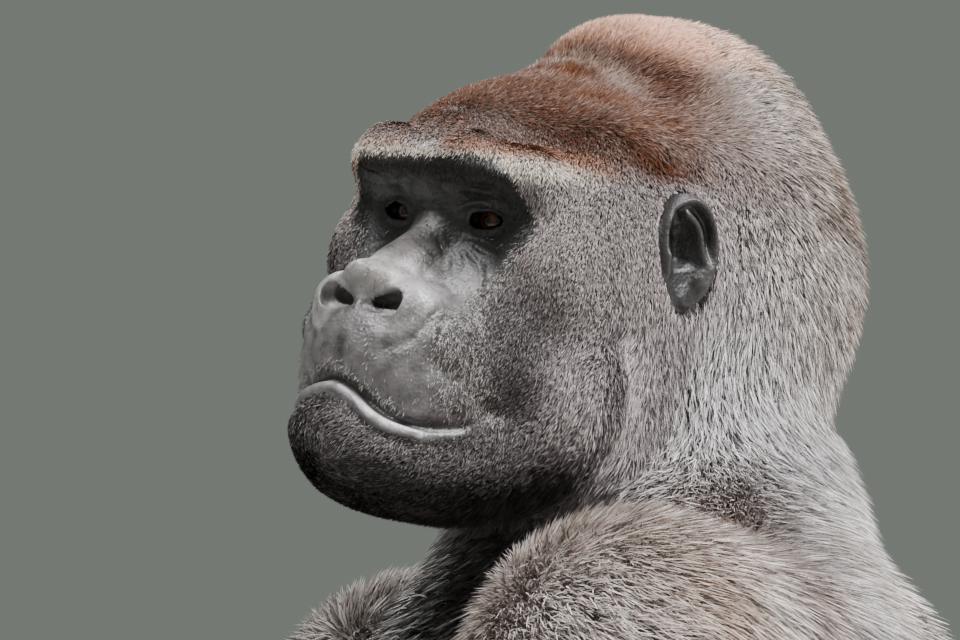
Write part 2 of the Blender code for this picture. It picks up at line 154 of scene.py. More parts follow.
FACE = [
    ("bone", (0, -2.1, 3.2), (3.4, -2.0, 3.4), 1.25, 1.4, 1.5),  # brow
    ("bone", (3.4, -2.0, 3.4), (6.0, 0.3, 2.9), 1.4, 1.3, 1.4),
    ("bone", (6.0, 0.3, 2.9), (6.9, 3.0, -1.2), 1.3, 1.25, 1.5),  # outer rim of the socket
    ("ball", (6.8, 2.6, -2.9), (2.8, 3.2, 2.9), 0, 2.0),  # cheekbone
    ("ball", (3.2, 2.2, -3.8), (3.4, 2.6, 3.0), 0, 2.0),  # under the eye
    ("bone", (1.4, 0.7, -1.4), (2.7, -0.7, -4.8), 1.4, 2.0, 1.2),  # side of the nose
    ("bone", (0, 0.0, 2.2), (0, -0.3, -1.0), 0.95, 1.15, 1.2),  # bridge of the nose
    ("bone", (0, -0.3, -1.0), (0, -3.9, -3.9), 1.15, 1.8, 1.2),
    ("ball", (0, -2.9, -8.3), (5.4, 5.25, 4.6), 20, 1.2),  # upper lip
    ("ball", (3.1, -2.5, -10.2), (2.8, 4.15, 3.9), 0, 0.8),
    ("ball", (5.4, 0.4, -6.8), (2.1, 2.4, 3.6), 0, 2.0),  # pad beside the muzzle
    ("ball", (3.4, -3.5, -7.3), (2.3, 2.8, 2.2), 0, 1.0),  # top of the lip beside the nose
    ("ball", (0, -5.6, -4.4), (2.1, 1.8, 1.2), -20, 0.7),  # tip of the nose
    ("ball", (2.35, -5.2, -5.85), (2.05, 1.85, 1.9), 0, 0.5),  # wing of the nose
    ("bone", (0, -5.9, -5.7), (0, -7.0, -7.8), 0.42, 0.65, 0.5),  # pillar between the nostrils
    ("ball", (0, -3.5, -14.0), (5.2, 5.7, 3.9), -8, 0.7),  # lower lip and chin
    ("ball", (3.2, EYE_Y, -0.05), (1.9, 1.38, 1.42), 0, 0.7),  # lids
]
NOSTRIL = [
    ("bone", (0.62, -7.1, -5.75), (2.45, -6.6, -5.45), 0.44, 0.7, 0.2),
    ("bone", (1.1, -6.9, -5.85), (2.5, -6.5, -5.8), 0.45, 0.55, 0.2),
    ("bone", (0.9, -5.8, -5.6), (2.1, -5.5, -5.3), 0.6, 0.7, 0.3),
]
LID_OPENING = [
    ("bone", (2.8, -0.3, -0.04), (3.65, -0.25, 0.03), 0.53, 0.53, 0.1),
    ("bone", (3.65, -0.25, 0.03), (4.3, 0.2, 0.0), 0.5, 0.4, 0.1),
    ("bone", (2.8, -0.3, -0.04), (2.3, -0.05, -0.06), 0.5, 0.4, 0.1),
]

print("forms of the head:", len(SKULL), "for the skull and", len(FACE), "for half the face")

# %% [markdown]
# ## Trunk and limbs
#
# He sits upright with bent knees. The joints are points, mirrored from side to side but for
# the shoulder and elbow of the left arm, which are drawn up. Side s is 1 on his left, -1 on
# his right. Muscle and hair hide the bones, so a few thick tapering forms do for each limb.

# %% Joints, trunk and limbs
SHOULDER = {1: np.array((27.0, -6.0, 70.0)), -1: np.array((-25.5, -4.5, 65.5))}
ELBOW = {1: np.array((42.0, -24.0, 41.0)), -1: np.array((-42.0, -24.0, 39.0))}
WRIST = {1: np.array((37.5, -46.0, 14.0)), -1: np.array((-37.5, -46.0, 14.0))}
HIP = {s: np.array((11.5 * s, 6.0, 16.0)) for s in (1, -1)}
KNEE = {s: np.array((22.0 * s, -24.0, 33.0)) for s in (1, -1)}
ANKLE = {s: np.array((18.0 * s, -42.0, 8.0)) for s in (1, -1)}

TRUNK = [
    ("ball", (0, 9, 15), (23.5, 17.5, 16.8), 0, 0),  # pelvis
    ("ball", (0, 7.5, 30), (22.5, 19.5, 20), 0, 4),  # small of the back
    ("ball", (8, 3, 45), (18, 18, 17), 0, 5),  # flanks
    ("ball", (-8, 3, 45), (18, 18, 17), 0, 5),
    ("ball", (0, 2, 33), (25.5, 23.2, 24.5), 0, 5),  # belly
    ("ball", (0, 2, 58), (27.5, 20, 24.5), 0, 5),  # chest
    ("ball", (-1, 6.5, 62), (21, 17.5, 19), 0, 5),  # upper back
]
NECK = [
    ("ball", (-3, 3.0, 84), (14.5, 12, 17), 0, 6),
    ("bone", (-2, 5, 79), (20, 3, 69), 9.0, 10.0, 6),
    ("bone", (-2, 5, 79), (-18, 3, 65), 9.0, 9.5, 6),
]


def arm_forms(s):
    """Shoulder, shoulder blade, upper arm and forearm on side s."""
    shoulder = SHOULDER[s]
    blade = (12.0 * s, 9.0, shoulder[2] - 6.0)
    return [
        ("ball", shoulder, (11.2, 10.7, 10.7), 0, 5),
        ("bone", shoulder + (-2 * s, 2, -1), blade, 10.0, 9.5, 5),
        ("bone", shoulder + (2 * s, -1, -4), ELBOW[s], 9.9, 8.4, 4),
        ("bone", ELBOW[s], WRIST[s], 8.5, 5.0, 2),
    ]


def leg_forms(s):
    """Thigh and shin on side s."""
    return [
        ("bone", HIP[s], KNEE[s], 13.0, 9.2, 4),
        ("bone", KNEE[s], ANKLE[s], 8.8, 5.6, 3),
    ]


for name, joints in (("upper arm", (SHOULDER, ELBOW)), ("forearm", (ELBOW, WRIST)), ("thigh", (HIP, KNEE))):
    print(name, round(np.linalg.norm(joints[0][1] - joints[1][1]), 1), "cm")

# %% [markdown]
# A gorilla walks and rests on the knuckles of folded fingers, and its foot is a hand with
# the great toe off to the side. Each finger is four bones, one in the hand and three beyond
# the knuckle.

# %% Hands and feet
def fingers(s):
    """The joints of each finger of hand s: heel of the hand, knuckle, bend, middle joint, tip."""
    outward = np.array((1.0, -0.12 * s, 0.0)) * s
    for finger in range(4):
        spread = outward * 2.8 * (finger - 1.5)
        knuckle = WRIST[s] + spread + (0, -5.0, -6.2 - 0.25 * abs(finger - 1.3))
        bend = knuckle + (0, -3.4, 1.05 - knuckle[2])
        joint = bend + (0, 4.2, 0.3)
        yield WRIST[s] + spread * 0.55, knuckle, bend, joint, joint + (0, 1.6, 2.2)


def hand_forms(s):
    """A hand that stands on its knuckles, the fingers folded back along the floor."""
    forms = []
    for heel, knuckle, bend, joint, tip in fingers(s):
        forms.append(("bone", heel, knuckle, 2.9, 2.1, 0.9))
        forms.append(("bone", knuckle, bend, 1.95, 1.65, 0.3))
        forms.append(("bone", bend, joint, 1.65, 1.5, 0.3))
        forms.append(("bone", joint, tip, 1.5, 1.35, 0.3))
    outward = np.array((1.0, -0.12 * s, 0.0)) * s
    thumb = WRIST[s] - outward * 4.2 + (0, -1.0, -2.5)
    forms.append(("bone", WRIST[s] - outward * 1.5, thumb, 2.6, 1.9, 1.0))
    forms.append(("bone", thumb, thumb + (-0.6 * s, -2.8, -4.2), 1.75, 1.3, 0.4))
    return forms


def toes(s):
    """Root, tip, root radius and tip radius of each toe of foot s, the great toe last."""
    for number, length in enumerate((5.4, 5.6, 5.2, 4.4)):
        root = np.array((s * (18.4 + 2.2 * number), -57.6 + 0.55 * number, 1.75))
        way = np.array((s * (0.15 + 0.12 * number), -1.0, -0.12))
        yield root, root + one_long(way) * length, 1.55, 1.4
    yield np.array((13.2 * s, -55.0, 1.6)), np.array((12.3 * s, -58.2, 1.45)), 1.9, 1.75


def foot_forms(s):
    """A foot flat on its sole, the great toe off inwards like a thumb."""
    forms = [
        ("ball", (17.4 * s, -37.8, 3.4), (4.1, 5.4, 4.7), 0, 1.5),  # heel
        ("bone", (18 * s, -42, 6.5), (20.5 * s, -53, 3.4), 4.4, 3.4, 2.0),  # instep
        ("bone", (19.6 * s, -40, 2.3), (24.2 * s, -54.5, 1.9), 3.0, 2.5, 1.5),  # outer edge
        ("ball", (21.3 * s, -54.5, 2.0), (5.4, 4.6, 2.9), 0, 1.5),
        ("bone", (17.0 * s, -47.5, 2.6), (13.2 * s, -55.0, 1.6), 2.7, 1.9, 1.0),
    ]
    forms += [("bone", root, tip, a, b, 0.35) for root, tip, a, b in toes(s)]
    return forms


print("forms of a hand:", len(hand_forms(1)), "and of a foot:", len(foot_forms(1)))

# %% [markdown]
# The ear is a shell of gristle under thin skin. It has the parts of ours: the rolled rim,
# the inner fold, the bowl with the ear hole, the small flap in front of it and a lobe. It
# could be built of bones like the rest, but a shell so thin would tear. So it is a plate
# with a relief: each ridge or hollow is a line in the plate's own plane, with a width and
# a height.

# %% The ear
EAR = np.array((10.5, 9.2, -0.2))
EAR_TURN = turn("z", -20) @ turn("x", 8)
EAR_OUTLINE = np.array(((0.05, -0.05), (2.15, 3.4)))
EAR_RIM = (
    (-1.7, -1.2), (-1.8, 0.3), (-1.75, 1.5), (-1.2, 2.5), (-0.5, 2.95), (0.3, 3.0), (1.05, 2.6),
    (1.6, 1.8), (1.8, 0.9), (1.8, -0.3), (1.55, -1.3), (1.15, -2.1), (0.5, -2.75),
)
EAR_FOLD = ((-0.2, 2.1), (0.45, 1.6), (0.8, 0.8), (0.85, -0.1), (1.2, -0.95), (0.75, -1.6), (0.3, -2.3))
EAR_RELIEF = [
    # line of (back, up), width, height
    (EAR_RIM, 0.34, 0.6),
    (EAR_FOLD, 0.3, 0.5),
    (((-0.5, 0.9), (-0.45, -0.2), (-0.3, -1.2)), 0.75, -1.0),  # bowl
    (((-0.85, 2.1), (-0.6, 1.5)), 0.4, -0.45),  # hollow above it
    (((0.5, 2.3), (1.25, 1.5), (1.38, 0.7), (1.38, -0.1)), 0.26, -0.25),  # groove inside the rim
    (((-1.4, -0.3), (-1.25, -0.9)), 0.38, 0.45),  # flap in front of the ear hole
    (((-0.3, -2.8), (0.2, -2.75)), 0.6, 0.25),  # lobe
]
print("ear:", len(EAR_RELIEF), "lines of relief")

# %% [markdown]
# ## The distance to a form
#
# Each form gives every point of space its distance to the form's face, below zero inside.
# The least of two distances joins two forms. A fillet of width k rounds the join: where the
# two are within k of each other, (k - |a - b|)^2 / 4k comes off.

# %% Distances
FAR = 20.0


def ball_distance(p, centre, radii, tilt):
    """d = n(n - 1)/m with n = |q/r| and m = |q/r^2|: exact on the egg, true in slope near it."""
    q = p - np.asarray(centre, float)
    if tilt:
        q = q @ turn("x", tilt)
    r = np.asarray(radii, float)
    n = lengths(q / r)
    m = lengths(q / (r * r))
    return n * (n - 1) / np.maximum(m, 1e-9)


def bone_distance(p, start, end, start_radius, end_radius):
    """Distance to the nearest point of the axis, less the radius there."""
    start, end = np.asarray(start, float), np.asarray(end, float)
    along = end - start
    t = np.clip((p - start) @ along / (along @ along), 0, 1)
    gap = p - start - t[:, None] * along
    return lengths(gap) - (start_radius + (end_radius - start_radius) * t)


def distance(p, form):
    """Distance from points p to one form of either kind."""
    kind = ball_distance if form[0] == "ball" else bone_distance
    return kind(p, *form[1:-1])


def joined(a, b, k):
    """The smaller of two distances, rounded over the width k."""
    if k <= 0:
        return np.minimum(a, b)
    h = np.maximum(k - np.abs(a - b), 0)
    return np.minimum(a, b) - h * h / (4 * k)


def around(form):
    """The middle of a form and how far it reaches."""
    if form[0] == "ball":
        return np.asarray(form[1], float), max(form[2])
    start, end = np.asarray(form[1], float), np.asarray(form[2], float)
    return (start + end) / 2, np.linalg.norm(end - start) / 2 + max(form[3], form[4])


def near_to(p, form, spare):
    """The points that a form can change."""
    centre, reach = around(form)
    return np.flatnonzero(((p - centre) ** 2).sum(1) < (reach + form[-1] + spare) ** 2)


def union(p, forms, start=None, shrunk=0.0):
    """The forms, shrunk by so much, joined one after another, each with its own fillet."""
    d = np.full(len(p), FAR) if start is None else start
    for form in forms:
        near = near_to(p, form, 3.5)
        if len(near):
            d[near] = joined(d[near], distance(p[near], form) + shrunk, form[-1])
    return d


def hollowed(p, forms, d, moved=(0, 0, 0)):
    """The forms, moved by so much, taken out of d, each edge rounded over its own width."""
    for form in forms:
        near = near_to(p, form, 2.0)
        if len(near):
            d[near] = -joined(-d[near], distance(p[near] - moved, form), form[-1])
    return d


heart = np.array([(0.0, 0.0, 58.0)])
print("the heart lies", round(float(-union(heart, TRUNK)[0]), 1), "cm deep")

# %% [markdown]
# ## Folds of the face
#
# A gorilla's face is creased where it moves: round the wings of the nose, from the nose to
# the corners of the mouth, under the eyes and along the lips. Each fold is a line laid on
# the face with a width and a height, pushed in or out like a modelling tool's edge. The
# tool's pressure falls off as exp(-(distance/width)^2).

# %% Lines of the folds
MOUTH = [(0, -10.3), (0.9, -10.4), (1.8, -10.8), (2.7, -11.35), (3.7, -11.85), (4.8, -12.3), (5.7, -12.15)]
FOLDS = [
    # line of (x, z), width, height
    (MOUTH, 0.28, -0.65),  # slit of the mouth
    ([(x, z + 0.5) for x, z in MOUTH[:-1]], 0.4, 0.15),  # edge of the upper lip
    ([(x, z - 0.5) for x, z in MOUTH[:-1]], 0.28, 0.24),  # edge of the lower lip
    ([(x, z - 1.2) for x, z in MOUTH[:-1]], 0.45, -0.22),  # under the lower lip
    ([(5.5, -11.4), (6.0, -12.3), (5.7, -13.2)], 0.3, -0.2),  # corner of the mouth
    ([(0, -8.2), (0, -9.5)], 0.35, -0.12),  # groove under the nose
    ([(0, -3.2), (0, -4.8)], 0.32, -0.16),  # middle of the tip of the nose
    ([(1.9, -3.6), (3.2, -3.9), (4.3, -5.1), (4.5, -6.5), (3.8, -7.8), (2.3, -8.2)], 0.36, -0.24),
    ([(4.6, -8.0), (5.8, -9.8), (6.3, -11.6)], 0.6, -0.14),  # from the nose past the mouth
    ([(1.2, 1.5), (3.0, 2.0), (5.2, 1.6)], 0.6, -0.45),  # hollow over the eye
    ([(1.0, -1.2), (1.7, -2.2), (2.4, -3.2)], 0.17, -0.14),  # down the side of the nose
    ([(0.9, -1.8), (1.6, -2.7), (2.5, -3.3)], 0.16, -0.12),
    ([(1.5, -1.2), (2.4, -2.1), (3.2, -3.2)], 0.17, -0.14),
    ([(1.9, -1.3), (3.0, -2.0), (4.2, -2.9), (4.9, -4.3), (5.2, -5.6)], 0.18, -0.14),
    ([(2.2, -1.25), (3.6, -1.75), (5.0, -2.1)], 0.2, -0.16),
    ([(4.6, -5.4), (4.9, -6.6), (5.1, -7.8)], 0.16, -0.1),  # beside the wing
    ([(1.6, 0.4), (3.1, 1.05), (4.7, 0.45)], 0.17, -0.18),  # upper lid
    ([(1.5, 1.0), (2.6, 1.7), (4.4, 1.5)], 0.2, -0.14),
    ([(1.9, -0.7), (3.2, -1.1), (4.5, -0.7)], 0.15, -0.12),  # lower lid
    ([(0.5, 2.2), (0.7, 0.6), (0.6, -0.8)], 0.18, -0.12),  # between the brows
    ([(0, 0.9), (0.9, 0.7)], 0.16, -0.1),  # across the bridge
    ([(0, 0.3), (0.9, 0.2)], 0.16, -0.1),
]
JOWL = np.array([(10.3, 4.6, -5.0), (10.0, 6.5, -9.5), (8.6, 5.8, -13.9), (6.2, 5.3, -15.9)], float)
print("folds:", len(FOLDS) + 1)


# %% [markdown]
# The lines are drawn flat, as (x, z), so they are first laid on the face and rounded. A
# line then presses on everything near it.

# %% Lay and press the folds
def head_bulk(p):
    """The head without folds and openings, in the head's axes, one half of it."""
    return union(p, SKULL + FACE)


def laid_on_face(path):
    """Puts a line of (x, z) onto the face: y is where the way in from the front meets it."""
    y = np.arange(-14, 6, 0.04)
    points = []
    for x, z in path:
        column = np.column_stack([np.full(len(y), float(x)), y, np.full(len(y), float(z))])
        points.append((x, y[np.argmax(head_bulk(column) < 0)], z))
    return np.array(points)


def rounded_path(points, rounds=2):
    """Cuts the corners off a line: each stretch keeps its middle half."""
    for _ in range(rounds):
        first = points[:-1] * 0.75 + points[1:] * 0.25
        second = points[:-1] * 0.25 + points[1:] * 0.75
        middle = np.stack([first, second], 1).reshape(-1, 3)
        points = np.concatenate([points[:1], middle, points[-1:]])
    return points


FOLD_LINES = [(rounded_path(laid_on_face(path)), width, height) for path, width, height in FOLDS]
FOLD_LINES.append((rounded_path(JOWL), 1.2, -0.8))


def tool_pressure(p, line, width, fade=0.8):
    """exp(-(distance/width)^2) from a line, fading out at each end that isn't on the midline."""
    least, along, start = np.full(len(p), 99.0), np.zeros(len(p)), 0.0
    for a, b in zip(line, line[1:]):
        length = np.linalg.norm(b - a)
        t = np.clip((p - a) @ (b - a) / length**2, 0, 1)
        gap = ((p - a - t[:, None] * (b - a)) ** 2).sum(1)
        closer = gap < least
        least[closer], along[closer] = gap[closer], (start + t * length)[closer]
        start += length
    ends = smooth(start - along, -0.2, fade)
    if line[0][0] > 0.1:
        ends = ends * smooth(along, -0.2, fade)
    return ends * np.exp(-least / width**2)


def folded(p, d, detail):
    """Presses every fold into the distance d, by a share of its height."""
    for line, width, height in FOLD_LINES:
        middle = (line.min(0) + line.max(0)) / 2
        reach = np.linalg.norm(np.ptp(line, axis=0)) / 2 + 2.5 * width
        near = np.flatnonzero(((p - middle) ** 2).sum(1) < reach**2)
        if len(near):
            d[near] -= detail * height * tool_pressure(p[near], line, width)
    return d


print("points of the fold lines:", sum(len(line) for line, _, _ in FOLD_LINES))

# %% [markdown]
# ## How deep the coat is
#
# Nothing grows on the face, the ears, the palms, the knuckles and the soles. The crown is
# short and dense, the nape and back are longer, the arms carry the longest hair. Where he
# sits on it the coat is pressed flat. These depths part the skin from the solids.

# %% Depth of the coat
MASK_Z = (-13.4, -12.6, -11.8, -9.5, -7.1, -4.8, -3.5, -2.2, 0.1, 1.4, 2.9, 3.4)
MASK_X = (4.8, 6.0, 6.6, 6.3, 5.9, 5.6, 6.0, 6.6, 7.0, 6.6, 5.9, 5.2)


def bare_face(q):
    """1 on the bare mask of the face, 0 in the coat: inside its half width at each height."""
    x, y, z = mirrored(q).T
    wide = np.interp(z, MASK_Z, MASK_X)
    lip = np.interp(x, *np.transpose(MOUTH)) - 0.95
    top = 1 - smooth(z - 0.08 * q[:, 0], 2.9, 3.7)
    mask = smooth(wide - x, -0.4, 0.5) * top * smooth(z - lip, -0.35, 0.25)
    return mask * (1 - smooth(y, 3.0, 5.0))


def ear_edge(shell):
    """Distance in the ear's own plane to its outline, an egg."""
    return ball_distance(shell[:, 1:], *EAR_OUTLINE, 0)


def ear_height(shell):
    """How far the ear's relief rises above its plate: the sum of its ridges and hollows."""
    flat = shell * (0, 1, 1)
    height = np.zeros(len(shell))
    for path, width, rise in EAR_RELIEF:
        line = np.array([(0, along, up) for along, up in path], float)
        height += rise * tool_pressure(flat, rounded_path(line), width)
    return height


def on_ear(q):
    """1 on the shell of the ear, 0 on the head round it."""
    shell = (mirrored(q) - EAR) @ EAR_TURN
    return (1 - smooth(ear_edge(shell), 0.02, 0.25)) * smooth(shell[:, 0], -1.6, -1.2)


def head_depth(q):
    """Depth of the coat on the head: short near the face, 0.6 cm on the crown, 1.4 cm on the nape."""
    depth = 0.6 + 0.8 * smooth(q[:, 1], 13, 27)
    depth += 0.3 * smooth(-q[:, 2], 8, 16)
    from_ear = lengths(mirrored(q) - EAR)
    depth *= 0.3 + 0.7 * smooth(from_ear, 2.5, 5.5)
    from_face = np.sqrt(q[:, 0] ** 2 + (q[:, 1] + 2) ** 2 + ((q[:, 2] + 4.5) * 0.8) ** 2)
    depth *= 0.15 + 0.85 * smooth(from_face, 7.5, 15.0)
    return depth * (1 - bare_face(q))


def body_depth(p):
    """Depth of the coat on the body, none on hands and feet and little where he sits."""
    depth = 2.2 + 0.8 * smooth(p[:, 1], -8, 8) + 0.6 * smooth(np.abs(p[:, 0]), 26, 36)
    for s in (1, -1):
        hand = lengths(p - WRIST[s] - (0, -4, -8))
        foot = lengths((p - (19 * s, -49, 2)) / (9, 16, 8))
        depth = depth * smooth(hand, 9.5, 18) * smooth(foot, 1.0, 1.6)
    return depth * (0.1 + 0.9 * smooth(p[:, 2], 0, 7))


crest, spine = np.array([(0.0, 15.0, 13.0)]), np.array([(0.0, 22.0, 50.0)])
on_crest, on_back = head_depth(crest)[0], body_depth(spine)[0]
print("coat:", round(on_crest, 2), "cm on the crest,", round(on_back, 2), "cm on the back")

# %% [markdown]
# ## The skin as a distance
#
# The body's forms and the head's meet in a wide fillet. The coat's depth is added, which
# moves the face of it inwards. The ears, the nostrils and the openings of the lids come
# after that, because they lie in the skin itself.

# %% The skin as one distance
BODY = TRUNK + NECK + arm_forms(1) + arm_forms(-1) + leg_forms(1) + leg_forms(-1)
HANDS_FEET = hand_forms(1) + hand_forms(-1) + foot_forms(1) + foot_forms(-1)


HEAD_REACH = 46.0
OPENING_WAY = -1.6  # the openings start this far in front of the face
NECK_FILLET = 5.0


def skin(p, detail=1.0):
    """Distance to the skin. At detail 0 its openings and folds are shut, at 1 they are done."""
    d = union(p, BODY)
    # the head with its folds, and the depth of its coat against the body's
    q = to_head(p)
    near = np.flatnonzero((q**2).sum(1) < HEAD_REACH**2)
    q = q[near]
    half = mirrored(q)
    head = folded(half, head_bulk(half), detail)
    depth = body_depth(p)
    share = smooth(d[near] - head, -4.0, 4.0)
    depth[near] = depth[near] * (1 - share) + head_depth(q) * share
    d[near] = joined(d[near], head, NECK_FILLET)
    d = union(p, HANDS_FEET, d) + depth
    # nostrils and lids, which come in from the front as detail goes from 0 to 1
    face = hollowed(half, NOSTRIL + LID_OPENING, d[near], (0, OPENING_WAY * (1 - detail), 0))
    # the ear: a plate with its relief, joined to the head, which is cleared away inside the rim
    shell = (half - EAR) @ EAR_TURN
    close = np.flatnonzero((shell**2).sum(1) < 36)
    if len(close):
        shell = shell[close]
        edge = ear_edge(shell)
        ear = 0.7 * (shell[:, 0] - 0.75 + 0.1 * shell[:, 1] - detail * ear_height(shell))
        raised = joined(face[close], -joined(-ear, -edge, 0.5), 0.35)
        face[close] = -joined(-raised, -joined(ear, -0.45 - edge, 0.2), 0.15)
    d[near] = face
    return np.maximum(d, -p[:, 2])


print("forms:", len(BODY), "for the body and", len(HANDS_FEET), "for hands and feet")

# %% [markdown]
# ## From distance to surface
#
# A net is laid where the distance changes sign. Each cell of a grid that the surface
# crosses gets one point, and each grid edge that it crosses gets one four-sided face. Only
# blocks of the grid near the surface are worked out. After that, sides too long for their
# place are split, each point slides along the slope onto the surface, and a round of
# relaxing evens the net out. So triangles are 2 mm on lids, lips and ears, and up to 22 mm
# on the back. The openings and folds of the head are sunk last, from the front and a sixth
# at a time, so that the fine net follows them down instead of tearing.

# %% Sample the distance
BLOCK = 6
BATCH = 1500
HALF_DIAGONAL = 0.87  # of a block, as a share of its side
SPARE = 2.5  # for the fillets, which bend the distance


def sampled(field, low, high, cell):
    """The field on a grid, worked out only in blocks of cells that the surface may cross."""
    wide = cell * BLOCK
    blocks = np.ceil((high - low) / wide).astype(int)
    spots = np.argwhere(np.ones(blocks))
    coarse = field(low + (spots + 0.5) * wide)
    block = np.ones([BLOCK] * 3)
    values = np.kron(coarse.reshape(blocks), block)
    inner = np.argwhere(block)
    close = spots[np.abs(coarse) < wide * HALF_DIAGONAL + SPARE]
    for batch in np.array_split(close, max(1, len(close) // BATCH)):
        cells = (batch[:, None] * BLOCK + inner).reshape(-1, 3)
        values[tuple(cells.T)] = field(low + cells * cell)
    return values


# %% [markdown]
# The point of a cell is the mean of the places where the surface crosses its edges, each
# found by a straight line between the values at the two ends.

# %% The net itself
CORNERS = list(np.ndindex(2, 2, 2))


def net(field, low, high, cell):
    """Points and four-sided faces of the surface where the field is zero, facing outwards."""
    values = sampled(field, low, high, cell)
    size = values.shape
    inside = values < 0

    def shifted(array, corner):
        return array[tuple(slice(c, n - 1 + c) for c, n in zip(corner, size))]

    count = sum(shifted(inside, corner).astype(int) for corner in CORNERS)
    crossed = (count > 0) & (count < 8)
    number = -np.ones(crossed.shape, int)
    number[crossed] = np.arange(crossed.sum())
    where = np.argwhere(crossed)
    total, hits = np.zeros((len(where), 3)), np.zeros(len(where))
    found = [shifted(values, corner)[crossed] for corner in CORNERS]
    for a in range(8):
        for b in range(a + 1, 8):
            first, second = np.array(CORNERS[a]), np.array(CORNERS[b])
            if np.abs(first - second).sum() != 1:
                continue
            hit = (found[a] < 0) != (found[b] < 0)
            t = found[a][hit] / (found[a][hit] - found[b][hit])
            total[hit] += first + (second - first) * t[:, None]
            hits[hit] += 1
    points = low + (where + total / hits[:, None]) * cell
    faces = []
    for axis in range(3):
        turned = np.moveaxis(inside, axis, 0)
        start_in = np.moveaxis(turned[:-1], 0, axis)
        edges = np.argwhere(start_in != np.moveaxis(turned[1:], 0, axis))
        b, c = (axis + 1) % 3, (axis + 2) % 3
        clear = (edges[:, b] > 0) & (edges[:, c] > 0)
        clear &= (edges[:, b] < size[b] - 1) & (edges[:, c] < size[c] - 1)
        edges = edges[clear]
        step_b, step_c = np.eye(3, dtype=int)[b], np.eye(3, dtype=int)[c]
        ring = (edges - step_b - step_c, edges - step_c, edges, edges - step_b)
        quad = np.stack([number[tuple(place.T)] for place in ring], 1)
        outward = start_in[tuple(edges.T)]
        quad[~outward] = quad[~outward][:, ::-1]
        faces.append(quad)
    return points, np.concatenate(faces)


# %% [markdown]
# A point slides onto the skin down the slope of the distance. The slope comes from four
# feelers round the point, at the corners of a small tetrahedron, which is cheaper than six
# along the axes.

# %% Slide onto the skin
TETRA = np.array([(1, 1, 1), (1, -1, -1), (-1, 1, -1), (-1, -1, 1)], float)


def slope(p, detail=1.0, step=0.05):
    """The distance and its slope, from four points round each: g = sum(t_i f_i) / 4h."""
    values = np.array([skin(p + step * corner, detail) for corner in TETRA])
    return values.mean(0), (TETRA.T @ values).T / (4 * step)


def settled(p, detail, rounds=2, most=0.4):
    """Slides points onto the skin along the slope: p - f g / |g|^2."""
    p = p.copy()
    for _ in range(rounds):
        value, g = slope(p, detail)
        move = -(value / np.maximum((g**2).sum(1), 0.05))[:, None] * g
        p += move * np.minimum(1, most / np.maximum(lengths(move), 1e-9))[:, None]
    p[:, 2] = np.maximum(p[:, 2], 0.0)
    return p


# %% [markdown]
# A triangle with one long side falls into two, with two into three, with three into four.
# Neighbours split a shared side at the same point, so the net stays whole. Relaxing draws
# each point towards the middle of its neighbours, so that no triangle stays a splinter.

# %% Split and relax
def sides_of(faces):
    """Each side once, and for each triangle the numbers of its three sides."""
    ends = np.sort(np.concatenate([faces[:, [0, 1]], faces[:, [1, 2]], faces[:, [2, 0]]]), axis=1)
    key = ends[:, 0] * (faces.max() + 1) + ends[:, 1]
    _, first, number = np.unique(key, return_index=True, return_inverse=True)
    return ends[first], number.reshape(3, -1).T


def split_long(points, faces, detail):
    """Splits each side that is too long for its place; a triangle falls into 2, 3 or 4."""
    ends, side = sides_of(faces)
    start, end = points[ends].transpose(1, 0, 2)
    middle = (start + end) / 2
    long = np.linalg.norm(start - end, axis=1) > side_wanted(middle)
    new = np.full(len(ends), -1)
    new[long] = len(points) + np.arange(long.sum())
    points = np.concatenate([points, settled(middle[long], detail)])
    cut = new[side]
    count = (cut >= 0).sum(1)
    out = [faces[count == 0]]
    for k in range(3):
        a, b, c = (faces[:, (k + step) % 3] for step in range(3))
        ab, bc, ca = (cut[:, (k + step) % 3] for step in range(3))
        one = (count == 1) & (ab >= 0)
        two = (count == 2) & (ca < 0)
        out += [np.stack(t, 1)[one] for t in ((a, ab, c), (ab, b, c))]
        out += [np.stack(t, 1)[two] for t in ((ab, b, bc), (a, ab, bc), (a, bc, c))]
    a, b, c = faces.T
    ab, bc, ca = cut.T
    out += [np.stack(t, 1)[count == 3] for t in ((a, ab, ca), (ab, b, bc), (ca, bc, c), (ab, bc, ca))]
    return points, np.concatenate(out)


def relaxed(points, faces, detail, share=0.5, only=slice(None)):
    """Moves points a share of the way to the middle of their neighbours, then back on."""
    ends, _ = sides_of(faces)
    total, count = np.zeros_like(points), np.zeros(len(points))
    for a, b in ((0, 1), (1, 0)):
        for axis in range(3):
            total[:, axis] += np.bincount(ends[:, a], points[ends[:, b], axis], len(points))
        count += np.bincount(ends[:, a], minlength=len(points))
    aim = points + share * (total / count[:, None] - points)
    points = points.copy()
    points[only] = settled(aim[only], detail)
    return points


# %% [markdown]
# The face needs the finest net, the hands and feet a middling one. Each row below is a box
# of the head, from its low corner to its high one, and the longest side allowed in it.

# %% How fine the net is
FINER = [
    ((-1, -99, -18), (99, 26, 99), 1.0),
    ((-1, -99, -15), (8, 5, 5), 0.42),  # face
    ((-1, -99, -8.3), (6.2, -1, -1), 0.25),  # nose
    ((0.3, -99, -1.9), (5.6, 0.8, 1.9), 0.2),  # lids
    ((-1, -99, -13.2), (6.2, 0, -9.4), 0.2),  # lips
]
BODY_SIDE, HAND_SIDE, EAR_SIDE = 2.2, 0.8, 0.17


